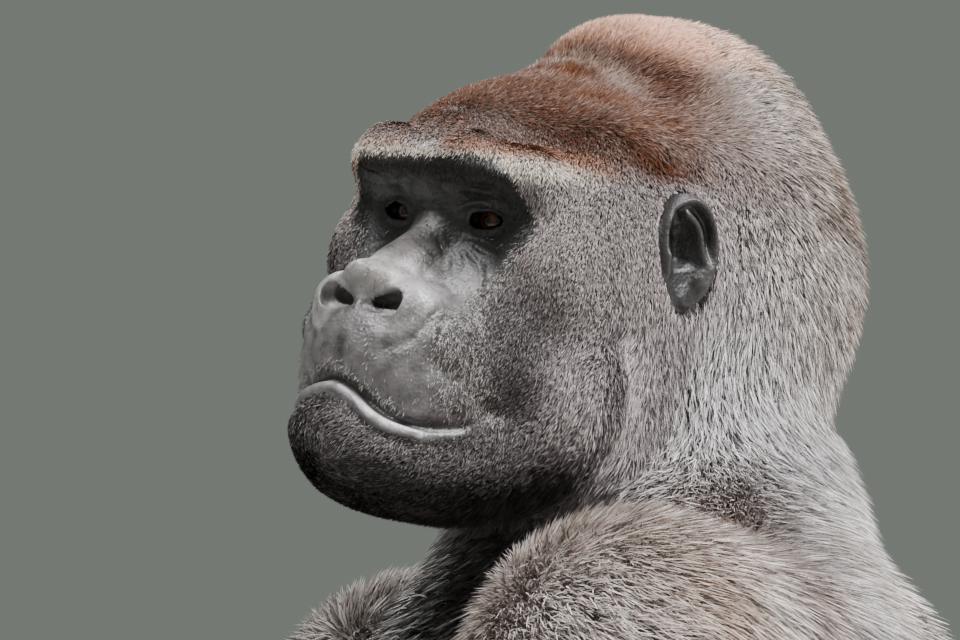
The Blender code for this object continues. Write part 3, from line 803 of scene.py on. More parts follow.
def side_wanted(p):
    """The longest side a triangle may have at each place, in centimetres."""
    size = np.full(len(p), BODY_SIDE)
    for s in (1, -1):
        size[((p - WRIST[s] - (0, -4, -8)) ** 2).sum(1) < 10**2] = HAND_SIDE
        size[(((p - (19 * s, -52, 2)) / (9, 13, 8)) ** 2).sum(1) < 1] = HAND_SIDE
    q = to_head(p)
    shell = (mirrored(q) - EAR) @ EAR_TURN
    q[:, 0] = np.abs(q[:, 0])
    for least, most, side in FINER:
        size[((q > least) & (q < most)).all(1)] = side
    size[(ear_edge(shell) < 0.3) & (np.abs(shell[:, 0]) < 2.2)] = EAR_SIDE
    return size


# %% [markdown]
# Now the skin is made: first a coarse net of the whole animal with its openings shut, then
# finer triangles where they are wanted, then the openings and folds step by step.

# %% Make the surface of the skin
ROOM = (np.array((-62, -76, -2.0)), np.array((62, 42, 116.0)))
CELL = 1.15
OPENING_STEPS = (0.17, 0.33, 0.5, 0.67, 0.83, 1.0, 1.0)
FINE = 0.5

points, quads = net(lambda p: skin(p, 0.0), *ROOM, CELL)
faces = np.concatenate([quads[:, [0, 1, 2]], quads[:, [0, 2, 3]]])
points = settled(points, 0.0)
for step in range(5):
    points, faces = split_long(points, faces, 0.0)
    if step in (1, 3):
        points = relaxed(points, faces, 0.0)
for detail in OPENING_STEPS:
    fine = side_wanted(points) < FINE
    points = relaxed(points, faces, detail, 0.4, fine)
    points, faces = split_long(points, faces, detail)
points = relaxed(points, faces, 1.0, 0.3, side_wanted(points) < FINE)
print("skin:", len(points), "points,", len(faces), "triangles")

# %% [markdown]
# Each point keeps the way the skin faces there, from the slope of the distance, and each
# triangle its area. The hair will stand by the first and be shared out by the second.

# %% Which way the skin faces
facing = unit(np.concatenate([slope(batch)[1] for batch in np.array_split(points, 8)]))
first, second, third = points[faces].transpose(1, 0, 2)
areas = np.linalg.norm(np.cross(second - first, third - first), axis=1) / 2
print("skin area:", round(areas.sum() / 1e4, 2), "square metres")

# %% [markdown]
# ## Markings
#
# The coat of a silverback is grizzled: every hair is dark at the root and paler towards the
# tip, and black, silver and brown hairs stand side by side. The crown is chestnut, with a
# rusty edge over the brow, and the top of the crest is paler, partly a painted highlight. The
# temples and the neck are silver, the jaw and the throat nearly black, with painted shade
# deepening the throat under the jaw, the back carries the silver saddle, and the arms and legs
# stay dark. One function gives the colour of every place, and both the hair and the skin
# under it use it.

# %% Helpers for colour and pattern
def linear(code):
    """An sRGB hex colour as linear light: ((c + 0.055)/1.055)^2.4 above 0.04."""
    c = np.array([int(code[k : k + 2], 16) for k in (0, 2, 4)]) / 255
    return np.where(c <= 0.04045, c / 12.92, ((c + 0.055) / 1.055) ** 2.4)


def ripple(p, size, seed):
    """A smooth patchy pattern from -1 to 1: the mean of six waves in different directions."""
    rng = np.random.default_rng(seed)
    ways = rng.normal(size=(6, 3))
    ways *= 2 * math.pi / size / np.linalg.norm(ways, axis=1)[:, None] * rng.uniform(0.7, 1.4, (6, 1))
    return np.sin(p @ ways.T + rng.uniform(0, 6.3, 6)).mean(1) * 1.7


def spot(q, centre, radii, soft=0.5):
    """1 inside an egg of those radii, fading to 0 over the soft share beyond it."""
    return 1 - smooth(lengths((q - centre) / radii), 1.0, 1.0 + soft)


print("silver in linear light:", np.round(linear("c0b5ad"), 3).tolist())

# %% [markdown]
# Every place belongs to the parts near it, the nearest most, so that colour and lie of the
# hair change smoothly from the trunk to an arm or from the neck to the head.

# %% Parts of the body
LIMBS = {
    # limb: the forms of its side, and which of them are its own
    "arm": (arm_forms, slice(3)),
    "forearm": (arm_forms, slice(3, None)),
    "thigh": (leg_forms, slice(1)),
    "shin": (leg_forms, slice(1, None)),
}
PARTS = {"trunk": TRUNK, "neck": NECK}
for limb, (forms_of, own) in LIMBS.items():
    for side, word in SIDES:
        PARTS[limb + "_" + word] = forms_of(side)[own]


def shares(p):
    """exp(-d/2) of the distance d to each part, over the sum of all: the shares add up to one."""
    weights = {}
    for name, forms in PARTS.items():
        d = np.min([distance(p, form) for form in forms], axis=0)
        weights[name] = np.exp(-np.clip(d + 6, 0, 40) / 2.0)
    head = head_bulk(mirrored(to_head(p)))
    weights["head"] = np.exp(-np.clip(head + 5, 0, 40) / 2.0)
    total = sum(weights.values())
    return {name: weight / total for name, weight in weights.items()}


at_shoulder = shares(SHOULDER[1][None])
print("the shoulder is", round(100 * at_shoulder["arm_left"][0]), "% arm")

# %% [markdown]
# The markings start from one shade for each part. Then each marking of the head and the
# shoulders is laid over it by its share at that place, from the large ones to the small.

# %% Markings
BODY_COLOURS = {"trunk": "b8b0ac", "neck": "dedadc", "arm_left": "dccfc8", "arm_right": "7d726b"}
for limb, code in (("forearm", "4b4745"), ("thigh", "7b7673"), ("shin", "423f3d")):
    for side, word in SIDES:
        BODY_COLOURS[limb + "_" + word] = code
BODY_COLOURS["head"] = "b0a4a2"


def mixed(colour, other, share):
    """Lays another colour over a colour by a share."""
    return colour + (linear(other) - colour) * np.clip(share, 0, 1)[:, None]


def markings(p, part):
    """The colour of the coat at each place, in linear light: c + (other - c) share, by turns."""
    q = to_head(p)
    x, y, z = np.abs(q[:, 0]), q[:, 1], q[:, 2]
    patchy = ripple(q, 4.0, 1)
    head = part["head"]
    colour = sum(part[name][:, None] * linear(code) for name, code in BODY_COLOURS.items())
    front = smooth(-p[:, 1], -4, 10)
    # dark hair of the throat, and painted shade under the jaw and between the shoulders
    throat_with_shade = spot(q, (3, 4.5, -19.5), (11, 7.5, 6.0), 0.35)
    on_top = smooth(p[:, 2], 64, 72) * (part["arm_left"] + part["neck"] * smooth(p[:, 0], 8, 16))
    on_top *= 0.4 + 0.4 * ripple(p, 9.0, 7)
    low = smooth(-p[:, 2], -60, -38) * (part["arm_left"] + part["arm_right"])
    laid = [
        ("2f2c2b", part["trunk"] * front * 0.85),  # chest and belly
        ("bdb7b2", part["trunk"] * (1 - front) * smooth(p[:, 2], 12, 30) * 0.8),  # saddle
        ("161414", (part["neck"] + head) * throat_with_shade),  # black throat: dark hair, deepened by painted shade under the jaw and between the shoulders
        ("a58b7c", on_top * smooth(p[:, 1], -12, -5)),  # brown top of the raised shoulder
        ("524e4b", low),  # arms darken towards the elbow
    ]
    dusk = (1 - smooth(y + 0.5 * x, 3.5, 9)) * smooth(-z, 2, 6)
    edge = z + 0.16 * (y - 8) + 0.6 * patchy
    crown = smooth(edge, 3.3, 5.2) * (1 - smooth(y + 0.8 * patchy + 0.5 * (5 - z), 10.0, 16.0))
    # top of the crest: warm hair, paled as a painted highlight where the light falls on it
    hump_with_highlight = smooth(z, 9.8, 12.0) * smooth(y, 9, 12) * (1 - smooth(y, 19, 24))
    streak = 1 - smooth(np.abs(z - 4.15 + 0.1 * x - 0.08 * q[:, 0]), 0.2, 1.0)
    streak *= smooth(x, 0.8, 2.5) * (1 - smooth(y, 3.5, 6.5))
    fringe = (1 - smooth(y, 1.0, 5.0)) * smooth(z, 2.4, 3.2) * (1 - smooth(z, 3.5, 4.3))
    on_head = [
        ("b3a7a8", smooth(-z, 1, 6) * (1 - smooth(y, 9, 14))),  # cheeks
        ("6b6260", dusk * 0.3),  # lower cheek
        ("2b2727", (1 - smooth(y + 0.3 * x, 2.2, 5.0)) * smooth(-z, 0, 3) * 0.8),  # round the mask
        ("544e4d", smooth(-z + 0.35 * (6 - y), 11.5, 16)),  # jaw
        ("575251", smooth(-z, 13.0, 16.0) * (1 - smooth(y, 2, 9))),  # beard
        ("c0b5ad", smooth(y, 13, 20) * 0.9),  # silver nape
        ("7f6f66", smooth(z, -2, 5) * smooth(y, 11, 15) * 0.65),  # back of the crest
        ("75604f", smooth(y, 17, 25) * smooth(patchy, -0.6, 0.8) * 0.8),  # brown patches on it
        ("7b7170", spot(q, (9, 3.5, 0.0), (4, 4, 4), 1.0) * 0.7),  # temple in front of the ear
        ("5a2f0d", crown * (0.86 + 0.12 * patchy)),  # chestnut crown
        ("4a2617", crown * smooth(ripple(q, 5.0, 3), 0.1, 0.9) * 0.6),
        ("d8a58c", hump_with_highlight * 0.85),  # warm top of the crest, its paleness partly a painted highlight
        ("50301f", smooth(z, 3.9, 4.8) * (1 - smooth(y, 4.0, 9.0)) * 0.8),  # over the brow
        ("96603c", streak * 0.65),  # its rusty edge
        ("dccfc2", fringe * 0.9),  # pale hairs along the brow
        ("c4ae9f", spot(q, (0, 9.6, 9.4), (3.5, 0.5, 1.2), 1.0) * 0.25),  # pale tuft
    ]
    for code, share in laid + [(code, head * share) for code, share in on_head]:
        colour = mixed(colour, code, share)
    return colour


crest = from_head([(0, 12, 10)])
print("crest in linear light:", np.round(markings(crest, shares(crest))[0], 3).tolist())


# %% [markdown]
# ## The lie of the coat
#
# Hair lies back over the crown, down the temples and the nape, and down and forward over
# the cheeks to the chin. On the body it runs down the back and along the upper arms, thighs
# and shins, and up the forearms, so that rain drips off the elbows.

# %% Lie of the hair
LIMB_WAYS = {
    # limb: from where, to where, and what bends the hair off that way
    "arm": (SHOULDER, ELBOW, (0, 0, 0)),
    "forearm": (WRIST, ELBOW, (0, 12, -6)),
    "thigh": (HIP, KNEE, (0, 8, -20)),
    "shin": (KNEE, ANKLE, (0, 0, 0)),
}


def lie(p, part):
    """The way the hair runs: the parts' own ways, each times its part's share, made one long."""
    q = to_head(p)
    y, z = q[:, 1], q[:, 2]
    top = smooth(z, 3.5, 9.0) * (1 - smooth(y, 16, 25))
    chin = smooth(-z, 11, 15)
    side = np.column_stack([0 * y, -0.25 - 0.35 * smooth(-z, 1, 7) - 0.6 * chin, -1 + 0.3 * chin])
    side += smooth(y, 12, 18)[:, None] * (np.array((0, 0.1, -1)) - side)
    flow = side + top[:, None] * (np.array((0, 1.0, 0.05)) - side)
    way = part["head"][:, None] * (flow @ HEAD_TURN.T)
    ways = {"trunk": np.array((0, 0.15, -1)), "neck": np.array((-0.1, -0.3, -1))}
    for limb, (start, end, bent) in LIMB_WAYS.items():
        for s, word in SIDES:
            ways[limb + "_" + word] = end[s] - start[s] + bent
    back = smooth(p[:, 2], 58, 72)[:, None] * np.array((0.2, 1.2, 0.1))
    for name, direction in ways.items():
        turned = one_long(direction) + (back if name.startswith("arm") else 0)
        way = way + part[name][:, None] * turned
    return unit(way)


def coat_depth(p, part):
    """The depth of the coat, as it parts skin and solids."""
    return body_depth(p) * (1 - part["head"]) + head_depth(to_head(p)) * part["head"]


# %% [markdown]
# ## A lock of hair
#
# A lock is a blade of two triangles: narrow at the root, widest in the middle, with a tip
# as fine as a hair, bent at the middle so that it rises first and then lies along. Its root
# stands a little under the skin. Its colours go from dark at the root to its own shade at
# the tip. Its patch on the colour map is 0.003 across, at its root's place on an unwrap of
# the skin: the angle round an axis through that part of the body, and the way along it.

# %% Locks
PATCH = 0.003


def unwrapped(p, start, end):
    """u is the angle round the axis from start to end, v the way along it, both from 0 to 1."""
    start, end = np.asarray(start, float), np.asarray(end, float)
    along = one_long(end - start)
    first = unit(np.cross(along, (0.31, 0.87, 0.38))[None])[0]
    second = np.cross(along, first)
    r = p - start
    u = np.arctan2(r @ second, r @ first) / (2 * math.pi) + 0.5
    v = r @ along
    v = (v - v.min()) / max(np.ptp(v), 1e-6)
    return np.column_stack([0.01 + 0.97 * u, 0.01 + 0.97 * v])


def scattered(weight, count, rng):
    """Roots spread over the skin: a triangle's chance goes with its area times its weight."""
    total = np.cumsum(areas * weight)
    chosen = np.searchsorted(total, rng.uniform(0, total[-1], count))
    a, b = rng.uniform(size=(2, count))
    over = a + b > 1
    a[over], b[over] = 1 - a[over], 1 - b[over]
    share = np.column_stack([1 - a - b, a, b])[:, :, None]
    ring = faces[chosen]
    return (points[ring] * share).sum(1), unit((facing[ring] * share).sum(1))


# %% [markdown]
# The locks swing a little from the lie, in patches, as real hair clumps. Some are pale and
# some dark all along, which is what makes the grizzle.

# %% Blades of hair
def combed(way, up, swing):
    """The lie laid flat on the skin and turned by an angle, and the direction across it."""
    way = unit(way - (way * up).sum(1)[:, None] * up)
    way = way * np.cos(swing)[:, None] + np.cross(up, way) * np.sin(swing)[:, None]
    return way, np.cross(up, way)


def blades(root, up, sunk, first, second, across):
    """Root, the two sides of the bend and the tip: half of the first step, half of the second."""
    middle = root + first * 0.5
    return np.stack([root - sunk * up, middle + across, middle - across, middle + second * 0.5], 1)


def locks(weight, count, width, grizzle, rng):
    """The four points of each blade, their colours, and the roots.

    A lock is 0.3 cm and the coat's depth long, give or take a quarter, and stands up by about
    half that depth: steep to its bend, flatter after it, and rolled a little about its length.
    """
    # where each lock stands and which way it lies
    root, up = scattered(weight, count, rng)
    part = shares(root)
    depth = coat_depth(root, part)
    swing = rng.normal(0, 0.2, count) + 0.3 * ripple(root, 1.6, 11) + 0.2 * ripple(root, 5.0, 12)
    way, side = combed(lie(root, part), up, swing)
    # how long it is and how steeply it rises
    on_head = np.clip(part["head"] * 1.6, 0, 1)
    length = (0.3 + (0.95 - 0.05 * on_head) * depth) * rng.uniform(0.7, 1.2, count)
    height = depth * (rng.uniform(0.3, 0.8, count) + 0.2 * on_head) + 0.05
    steep = np.clip(height / length, 0, 0.8)[:, None]
    first = np.sqrt(1 - np.minimum(1.3 * steep, 0.95) ** 2) * way + np.minimum(1.3 * steep, 0.95) * up
    second = np.sqrt(1 - (0.7 * steep) ** 2) * way + 0.7 * steep * up
    # the blade itself, kept off the floor
    roll = rng.normal(0, 0.45, count)[:, None]
    across = np.cos(roll) * side + np.sin(roll) * np.cross(first, side)
    broad = (width * rng.uniform(0.7, 1.3, count) / 2)[:, None]
    blade = blades(root, up, 0.08, first * length[:, None], second * length[:, None], across * broad)
    blade[:, :, 2] = np.maximum(blade[:, :, 2], rng.uniform(0.05, 0.35, (count, 1)))
    # its colours: each lock has its own shade, and some are pale or dark all along
    colour = markings(root, part)
    shade = np.exp(rng.normal(0, 0.28 * grizzle, count))[:, None]
    pale = (rng.uniform(size=count) < 0.34 * grizzle)[:, None]
    dark = (rng.uniform(size=count) < 0.30 * grizzle)[:, None]
    own = colour * shade
    own = np.where(pale, own * 1.2 + 0.10, own)
    own = np.where(dark, own * 0.32, own)
    tints = np.stack([own * 0.32, own * 0.8, own * 0.8, own * 1.25], 1)
    return blade, np.clip(tints, 0, 1), root


# %% [markdown]
# ## From arrays to objects
#
# A piece of Blender's is a mesh inside an object. It could be built point by point, but
# foreach_set hands over whole arrays at once, which matters at a million triangles. A piece
# is made in the frame's metres, with its own map or colours where it has them.

# %% Objects from arrays
def made(name, vertices, triangles, tints=None, flat=False):
    """A mesh object from arrays of points in centimetres and triangles."""
    data = bpy.data.meshes.new(name)
    data.vertices.add(len(vertices))
    data.vertices.foreach_set("co", ((vertices + ORIGIN) * CM).astype(np.float32).ravel())
    data.loops.add(triangles.size)
    data.loops.foreach_set("vertex_index", triangles.astype(np.int32).ravel())
    data.polygons.add(len(triangles))
    data.polygons.foreach_set("loop_start", np.arange(0, triangles.size, 3, dtype=np.int32))
    data.update(calc_edges=True)
    if not flat:
        data.shade_smooth()
    if tints is not None:
        layer = data.color_attributes.new("tint", "FLOAT_COLOR", "POINT")
        rows = np.column_stack([tints, np.ones(len(tints))])
        layer.data.foreach_set("color", rows.astype(np.float32).ravel())
    piece = bpy.data.objects.new(name, data)
    bpy.context.scene.collection.objects.link(piece)
    return piece


def mapped(piece, name, uv):
    """Gives a piece a UV map from one (u, v) for each corner of each triangle."""
    layer = piece.data.uv_layers.new(name=name)
    layer.data.foreach_set("uv", uv.astype(np.float32).ravel())


def finished(piece, material):
    """Gives a piece its material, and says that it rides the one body."""
    piece.data.materials.append(material)
    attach(piece, "root")


# %% [markdown]
# ## Materials
#
# Each starts from what the real one is: hair is a scaly shaft with a soft streak of shine,
# bare skin is thick, pebbled and creased with a leathery sheen, and the eye is wet. One
# helper adds a node, and another lays a mottle of a real size over a colour.

# %% Nodes and materials
def node(tree, kind, settings=None, **links):
    """Adds a node, sets its options and plain inputs, and links the inputs that are sockets.

    An input goes by its name, or by its number after an underscore.
    """
    added = tree.nodes.new(kind)
    for key, value in (settings or {}).items():
        setattr(added, key, value)
    for key, value in links.items():
        numbered = key[0] == "_" and key[1:].isdigit()
        socket = added.inputs[int(key[1:]) if numbered else key.replace("_", " ")]
        if isinstance(value, bpy.types.NodeSocket):
            tree.links.new(value, socket)
        else:
            socket.default_value = value
    return added


def new_material(name, **constants):
    """A Principled material and its tree; the constants go on the shader's own inputs."""
    material = bpy.data.materials.new(name)
    material.use_nodes = True
    tree = material.node_tree
    shader = tree.nodes["Principled BSDF"]
    for key, value in constants.items():
        shader.inputs[key.replace("_", " ")].default_value = value
    return material, tree, shader


def per_mm(size):
    """The scale that makes a pattern repeat every size millimetres on a piece in metres."""
    return 1000.0 / size


def set_stops(ramp, stops):
    """Sets a colour ramp's stops, each a place from 0 to 1 and a colour."""
    while len(ramp.color_ramp.elements) < len(stops):
        ramp.color_ramp.elements.new(0.5)
    for element, (position, code) in zip(ramp.color_ramp.elements, stops):
        element.position = position
        element.color = (*linear(code), 1.0)


def mottled(tree, colour, noise, low, high):
    """A colour times a number that goes from low to high with the middle of a noise."""
    value = node(tree, "ShaderNodeMapRange", Value=noise.outputs["Fac"], _1=0.3, _2=0.7, _3=low, _4=high)
    multiply = {"data_type": "RGBA", "blend_type": "MULTIPLY"}
    return node(tree, "ShaderNodeMix", multiply, _0=1.0, _6=colour, _7=value.outputs["Result"]).outputs[2]


# %% [markdown]
# Guard hair: the shade of each lock is its own, and along the shaft it is mottled a little,
# every 3 mm or so, where the light catches it.

# %% Guard hair
def hair_material(name, roughness, shine):
    """Hair: the lock's own colours, mottled along the shaft."""
    material, tree, shader = new_material(name, Roughness=roughness, Specular_IOR_Level=shine)
    tint = node(tree, "ShaderNodeVertexColor", {"layer_name": "tint"})
    place = node(tree, "ShaderNodeTexCoord")
    fleck = node(tree, "ShaderNodeTexNoise", Vector=place.outputs["Object"], Scale=per_mm(3.0), Detail=2.0)
    colour = mottled(tree, tint.outputs["Color"], fleck, 0.8, 1.2)
    tree.links.new(colour, shader.inputs["Base Color"])
    return material


hair = {
    "crown_coat": hair_material("chestnut_crown_hair", 0.62, 0.14),
    "silver_coat": hair_material("silver_guard_hair", 0.5, 0.4),
    "dark_coat": hair_material("dark_limb_hair", 0.45, 0.4),
}
print("hair:", ", ".join(material.name for material in hair.values()))

# %% [markdown]
# Bare skin: keratin-thick and nearly black. Pebbles of 2.2 mm cover it, creases 4.5 mm long
# and finer ones cross them. The lips and the nose are smoother and damper than the rest,
# which the attribute "damp" says. The eye sees a dull black hide with a wet shine on it.

# %% Bare skin
bare, tree, shader = new_material("creased_black_skin", Specular_IOR_Level=0.75)
tint = node(tree, "ShaderNodeVertexColor", {"layer_name": "tint"})
damp = node(tree, "ShaderNodeAttribute", {"attribute_name": "damp"})
place = node(tree, "ShaderNodeTexCoord")
pebble = node(tree, "ShaderNodeTexVoronoi", Vector=place.outputs["Object"], Scale=per_mm(2.2))
crease = node(
    tree, "ShaderNodeTexNoise", Vector=place.outputs["Object"], Scale=per_mm(4.5), Detail=6.0, Roughness=0.65
)
blotch = node(tree, "ShaderNodeTexNoise", Vector=place.outputs["Object"], Scale=per_mm(9.0), Detail=3.0)
colour = mottled(tree, tint.outputs["Color"], blotch, 0.6, 1.35)
tree.links.new(colour, shader.inputs["Base Color"])
add = {"operation": "MULTIPLY_ADD"}
relief = node(tree, "ShaderNodeMath", add, _0=pebble.outputs["Distance"], _1=0.5, _2=crease.outputs["Fac"])
bump = node(tree, "ShaderNodeBump", Strength=0.6, Distance=0.0009, Height=relief.outputs[0])
tree.links.new(bump.outputs["Normal"], shader.inputs["Normal"])
rough = node(tree, "ShaderNodeMapRange", Value=damp.outputs["Fac"], _3=0.5, _4=0.3)
tree.links.new(rough.outputs["Result"], shader.inputs["Roughness"])
print("bare skin:", len(tree.nodes), "nodes")

# %% [markdown]
# ## The skin
#
# The mask of the face is black, with painted shade in the sockets round the eyes, slate grey
# on nose and muzzle, lightened by painted sheen, with painted highlights on the nose and the
# edge of the lower lip and painted shade in the slit of the mouth and the creases. Under the
# coat the skin carries the coat's own markings, darker, so that a parting shows no gap.

# %% Tones of the bare skin
part = shares(points)
q = to_head(points)
ear = on_ear(q)
covered = smooth(coat_depth(points, part), 0.02, 0.15) * (1 - ear)
half = mirrored(q)
x, y, z = half.T
on_face = part["head"] * (1 - smooth(y, 3, 6))
# the sockets under the brow, where shade falls round the eyes
socket_shade = 1 - smooth(((x - 4.0) / 3.7) ** 2 + ((z - 0.4) / 3.3) ** 2, 0.55, 1.5)


def from_line(line):
    """Distance to a fold's line: sqrt(-ln(pressure)) of a tool 1 cm wide."""
    return np.sqrt(-np.log(np.clip(tool_pressure(half, line, 1.0, 0.1), 1e-9, 1)))


# the first fold is the slit, the third the edge of the lower lip, the sixth on are creases
to_slit, to_rim = from_line(FOLD_LINES[0][0]), from_line(FOLD_LINES[2][0])
far_side = 0.75 * smooth(-q[:, 0], 0.4, 2.0)
in_front = np.flatnonzero(on_face > 0.01)
creased = np.zeros(len(points))
for line, width, height in FOLD_LINES[5:-1]:
    pressed = tool_pressure(half[in_front], line, width) * (height < 0) * (width < 0.5)
    creased[in_front] = np.maximum(creased[in_front], pressed)
relief = ear_height((half - EAR) @ EAR_TURN)
BLACK_SKIN = "3a3636"
tone = np.tile(linear(BLACK_SKIN), (len(points), 1))
for code, share in (
    ("625e5f", on_face * smooth(-z, 2.0, 4.6)),  # slate grey muzzle, lightened further as painted sheen
    ("5c5856", on_face * spot(half, (0, -2, -2.2), (1.3, 3, 2.2), 0.6)),  # bridge of the nose: its sparse pale hairs, and a painted highlight
    ("8f8b8a", on_face * spot(half, (0, -6.0, -4.1), (2.2, 2.5, 1.0), 0.8) * 0.7),  # paler skin on its tip, with a painted highlight
    ("9c9898", on_face * spot(half, (3.1, -5.6, -5.7), (1.4, 2.2, 2.0), 0.6) * 0.6),  # painted highlight on its wings
    # painted shade in the sockets under the brow
    ("0e0d0d", on_face * socket_shade),
    ("1a1818", on_face * smooth(z, 1.0, 2.6)),  # brow
    ("c2bec2", on_face * (1 - smooth(to_rim, 0.14, 0.42)) * (0.95 - far_side)),  # painted highlight along the edge of the lower lip, weaker on his far side
    ("080707", on_face * (1 - smooth(to_slit, 0.16, 0.38))),  # painted shade in the slit of the mouth
    # painted shade in the creases of the face
    ("0f0e0e", creased * 0.75),
    ("2b2829", on_face * smooth(np.interp(x, *np.transpose(MOUTH)) - z, 0.9, 1.4)),  # chin
    ("171516", ear),
    ("302c2d", ear * smooth(relief, 0.1, 0.5)),  # painted highlight on the ridges of the ear
    ("080708", ear * smooth(-relief, 0.1, 0.6)),  # painted shade in the bowl and hollows of the ear
):
    tone = mixed(tone, code, share)
print("bare:", round(100 * (1 - covered).mean()), "% of the skin's points")

# %% [markdown]
# Those tones go on the net, mixed with the coat's markings where hair grows. The skin
# stands for all the flesh, so it replaces every solid but the eyes.

# %% Make the skin
UNDER_COAT = 0.35
under = markings(points, part) * UNDER_COAT
tints = tone * (1 - covered)[:, None] + under * covered[:, None]
skin_piece = made("skin", points, faces, tints)
damp_values = on_face * np.maximum(0.6 * smooth(-z, 2.0, 4.5), 1 - smooth(to_rim, 0.3, 0.8))
damp_values = np.maximum(damp_values, 0.12 * ear)
layer = skin_piece.data.attributes.new("damp", "FLOAT", "POINT")
layer.data.foreach_set("value", damp_values.astype(np.float32))
finished(skin_piece, bare)
flesh = [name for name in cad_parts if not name.startswith("eye_")]
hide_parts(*flesh)
print("skin replaces", len(flesh), "solids")

# %% [markdown]
# ## Eyes
#
# The eyeball is a 24 mm ball with the cornea standing out of it in front. The iris is dark
# reddish brown, the white of the eye brown too, as in most gorillas. They look further to
# his left than the head does. The ball is a grid of two angles: a from the middle of the
# pupil, b round it. Its radius is R + h exp(-(a/w)^2), which is the cornea's bulge.

# %% The wet eye
wet, tree, shader = new_material(
    "wet_eye", Roughness=0.08, Specular_IOR_Level=0.35, Coat_Weight=0.6, Coat_Roughness=0.04
)
own = node(tree, "ShaderNodeUVMap", {"uv_map": "angles"})
split = node(tree, "ShaderNodeSeparateXYZ", Vector=own.outputs["UV"])
flat = {"noise_dimensions": "2D"}
ring = node(tree, "ShaderNodeTexNoise", flat, Vector=own.outputs["UV"], Scale=60.0, Detail=3.0)
ramp = node(tree, "ShaderNodeValToRGB", Fac=split.outputs["Y"])
IRIS = (
    # share of the way from the middle of the pupil to the back of the ball, colour
    (0.0, "020101"),
    (0.07, "020101"),
    (0.085, "5f3828"),
    (0.17, "472519"),
    (0.19, "0c0706"),
    (0.26, "17100d"),
    (0.6, "2a1e1a"),
)
set_stops(ramp, IRIS)
colour = mottled(tree, ramp.outputs["Color"], ring, 0.6, 1.4)
tree.links.new(colour, shader.inputs["Base Color"])
print("eye:", len(IRIS), "stops from pupil to back")


# %% [markdown]
# The two balls carry the map of angles, which is where the iris takes its rings from.

# %% Eyeballs
def grid_faces(rows, columns):
    """Two triangles for each cell of a grid of points, counter-clockwise."""
    a = (np.arange(rows - 1)[:, None] * columns + np.arange(columns - 1)).ravel()
    b, c, d = a + 1, a + columns + 1, a + columns
    return np.concatenate([np.stack([a, b, c], 1), np.stack([a, c, d], 1)])


EYE_GRID = (48, 49)
BALL_RADIUS = EYE_RADIUS - 0.02
CORNEA_RISE, CORNEA_WIDTH = 0.09, 0.5
GAZE = turn("z", 3.0) @ turn("x", 1.0)


def eyeball(word, side):
    """The ball, turned so that its pupil looks along the gaze."""
    rings, steps = EYE_GRID
    a = np.linspace(0, math.pi, rings)[:, None] + np.zeros(steps)
    b = np.linspace(0, 2 * math.pi, steps)[None] + np.zeros((rings, 1))
    r = BALL_RADIUS + CORNEA_RISE * np.exp(-((a / CORNEA_WIDTH) ** 2))
    ball = np.stack([r * np.sin(a) * np.cos(b), -r * np.cos(a), r * np.sin(a) * np.sin(b)], -1)
    middle = np.array((EYE_X * side, EYE_Y, 0))
    cells = grid_faces(rings, steps)
    piece = made("eyeball_" + word, from_head(ball.reshape(-1, 3) @ GAZE.T + middle), cells)
    uv = np.stack([b / (2 * math.pi), a / math.pi], -1).reshape(-1, 2)
    mapped(piece, "angles", uv[cells.ravel()])
    finished(piece, wet)
    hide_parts("eye_" + word)


for side, word in SIDES:
    eyeball(word, side)
print("eyes: radius", BALL_RADIUS, "cm")

# %% [markdown]
# ## Nails
#
# A gorilla's nails are black and ridged along their length, like ours in shape. The horn
# comes first: a mottle every 6 mm that gives the eye its ridges, and a low shine.

# %% Horn of the nails
horn, tree, shader = new_material("black_nail", Roughness=0.32, Specular_IOR_Level=0.55)
place = node(tree, "ShaderNodeTexCoord")
ridge = node(tree, "ShaderNodeTexNoise", Vector=place.outputs["Object"], Scale=per_mm(6.0), Detail=4.0)
ramp = node(tree, "ShaderNodeValToRGB", Fac=ridge.outputs["Fac"])
set_stops(ramp, ((0.3, "141211"), (0.75, "3d3530")))
tree.links.new(ramp.outputs["Color"], shader.inputs["Base Color"])
bump = node(tree, "ShaderNodeBump", Strength=0.3, Distance=0.0004, Height=ridge.outputs["Fac"])
tree.links.new(bump.outputs["Normal"], shader.inputs["Normal"])
print("horn:", horn.name)

# %% [markdown]
# A nail is a small curved plate: a grid of s across and t along, with s and t from -1 to 1.
# It arches over the finger as cos(s) and bends down towards its tip. Each plate has a back,
# an underside and an edge round it, so that it is a solid thing. The nails of a hand or a
# foot are one piece.

# %% Nails
ACROSS, ALONG = 9, 8
SHEET = ACROSS * ALONG
NAIL_DEPTH = 0.10


def nail(tip, along, up, radius):
    """Two sheets of points: r cos(0.85 s) up from the finger, r sin(0.85 s) across it, t along."""
    s, t = np.meshgrid(np.linspace(-1, 1, ACROSS), np.linspace(-1, 1, ALONG), indexing="ij")
    side = np.cross(along, up)
    sheets = []
    for lift in (NAIL_DEPTH, 0.0):
        r = radius + lift
        out = (r * np.cos(s * 0.85) - 0.10 * (t + 1) ** 2 * radius)[..., None] * up
        wide = (r * np.sin(s * 0.85) * (1 - 0.12 * t**4))[..., None] * side
        long = (t * radius * 0.62 + radius * 0.35)[..., None] * along
        sheets.append((tip + out + wide + long).reshape(-1, 3))
    return sheets


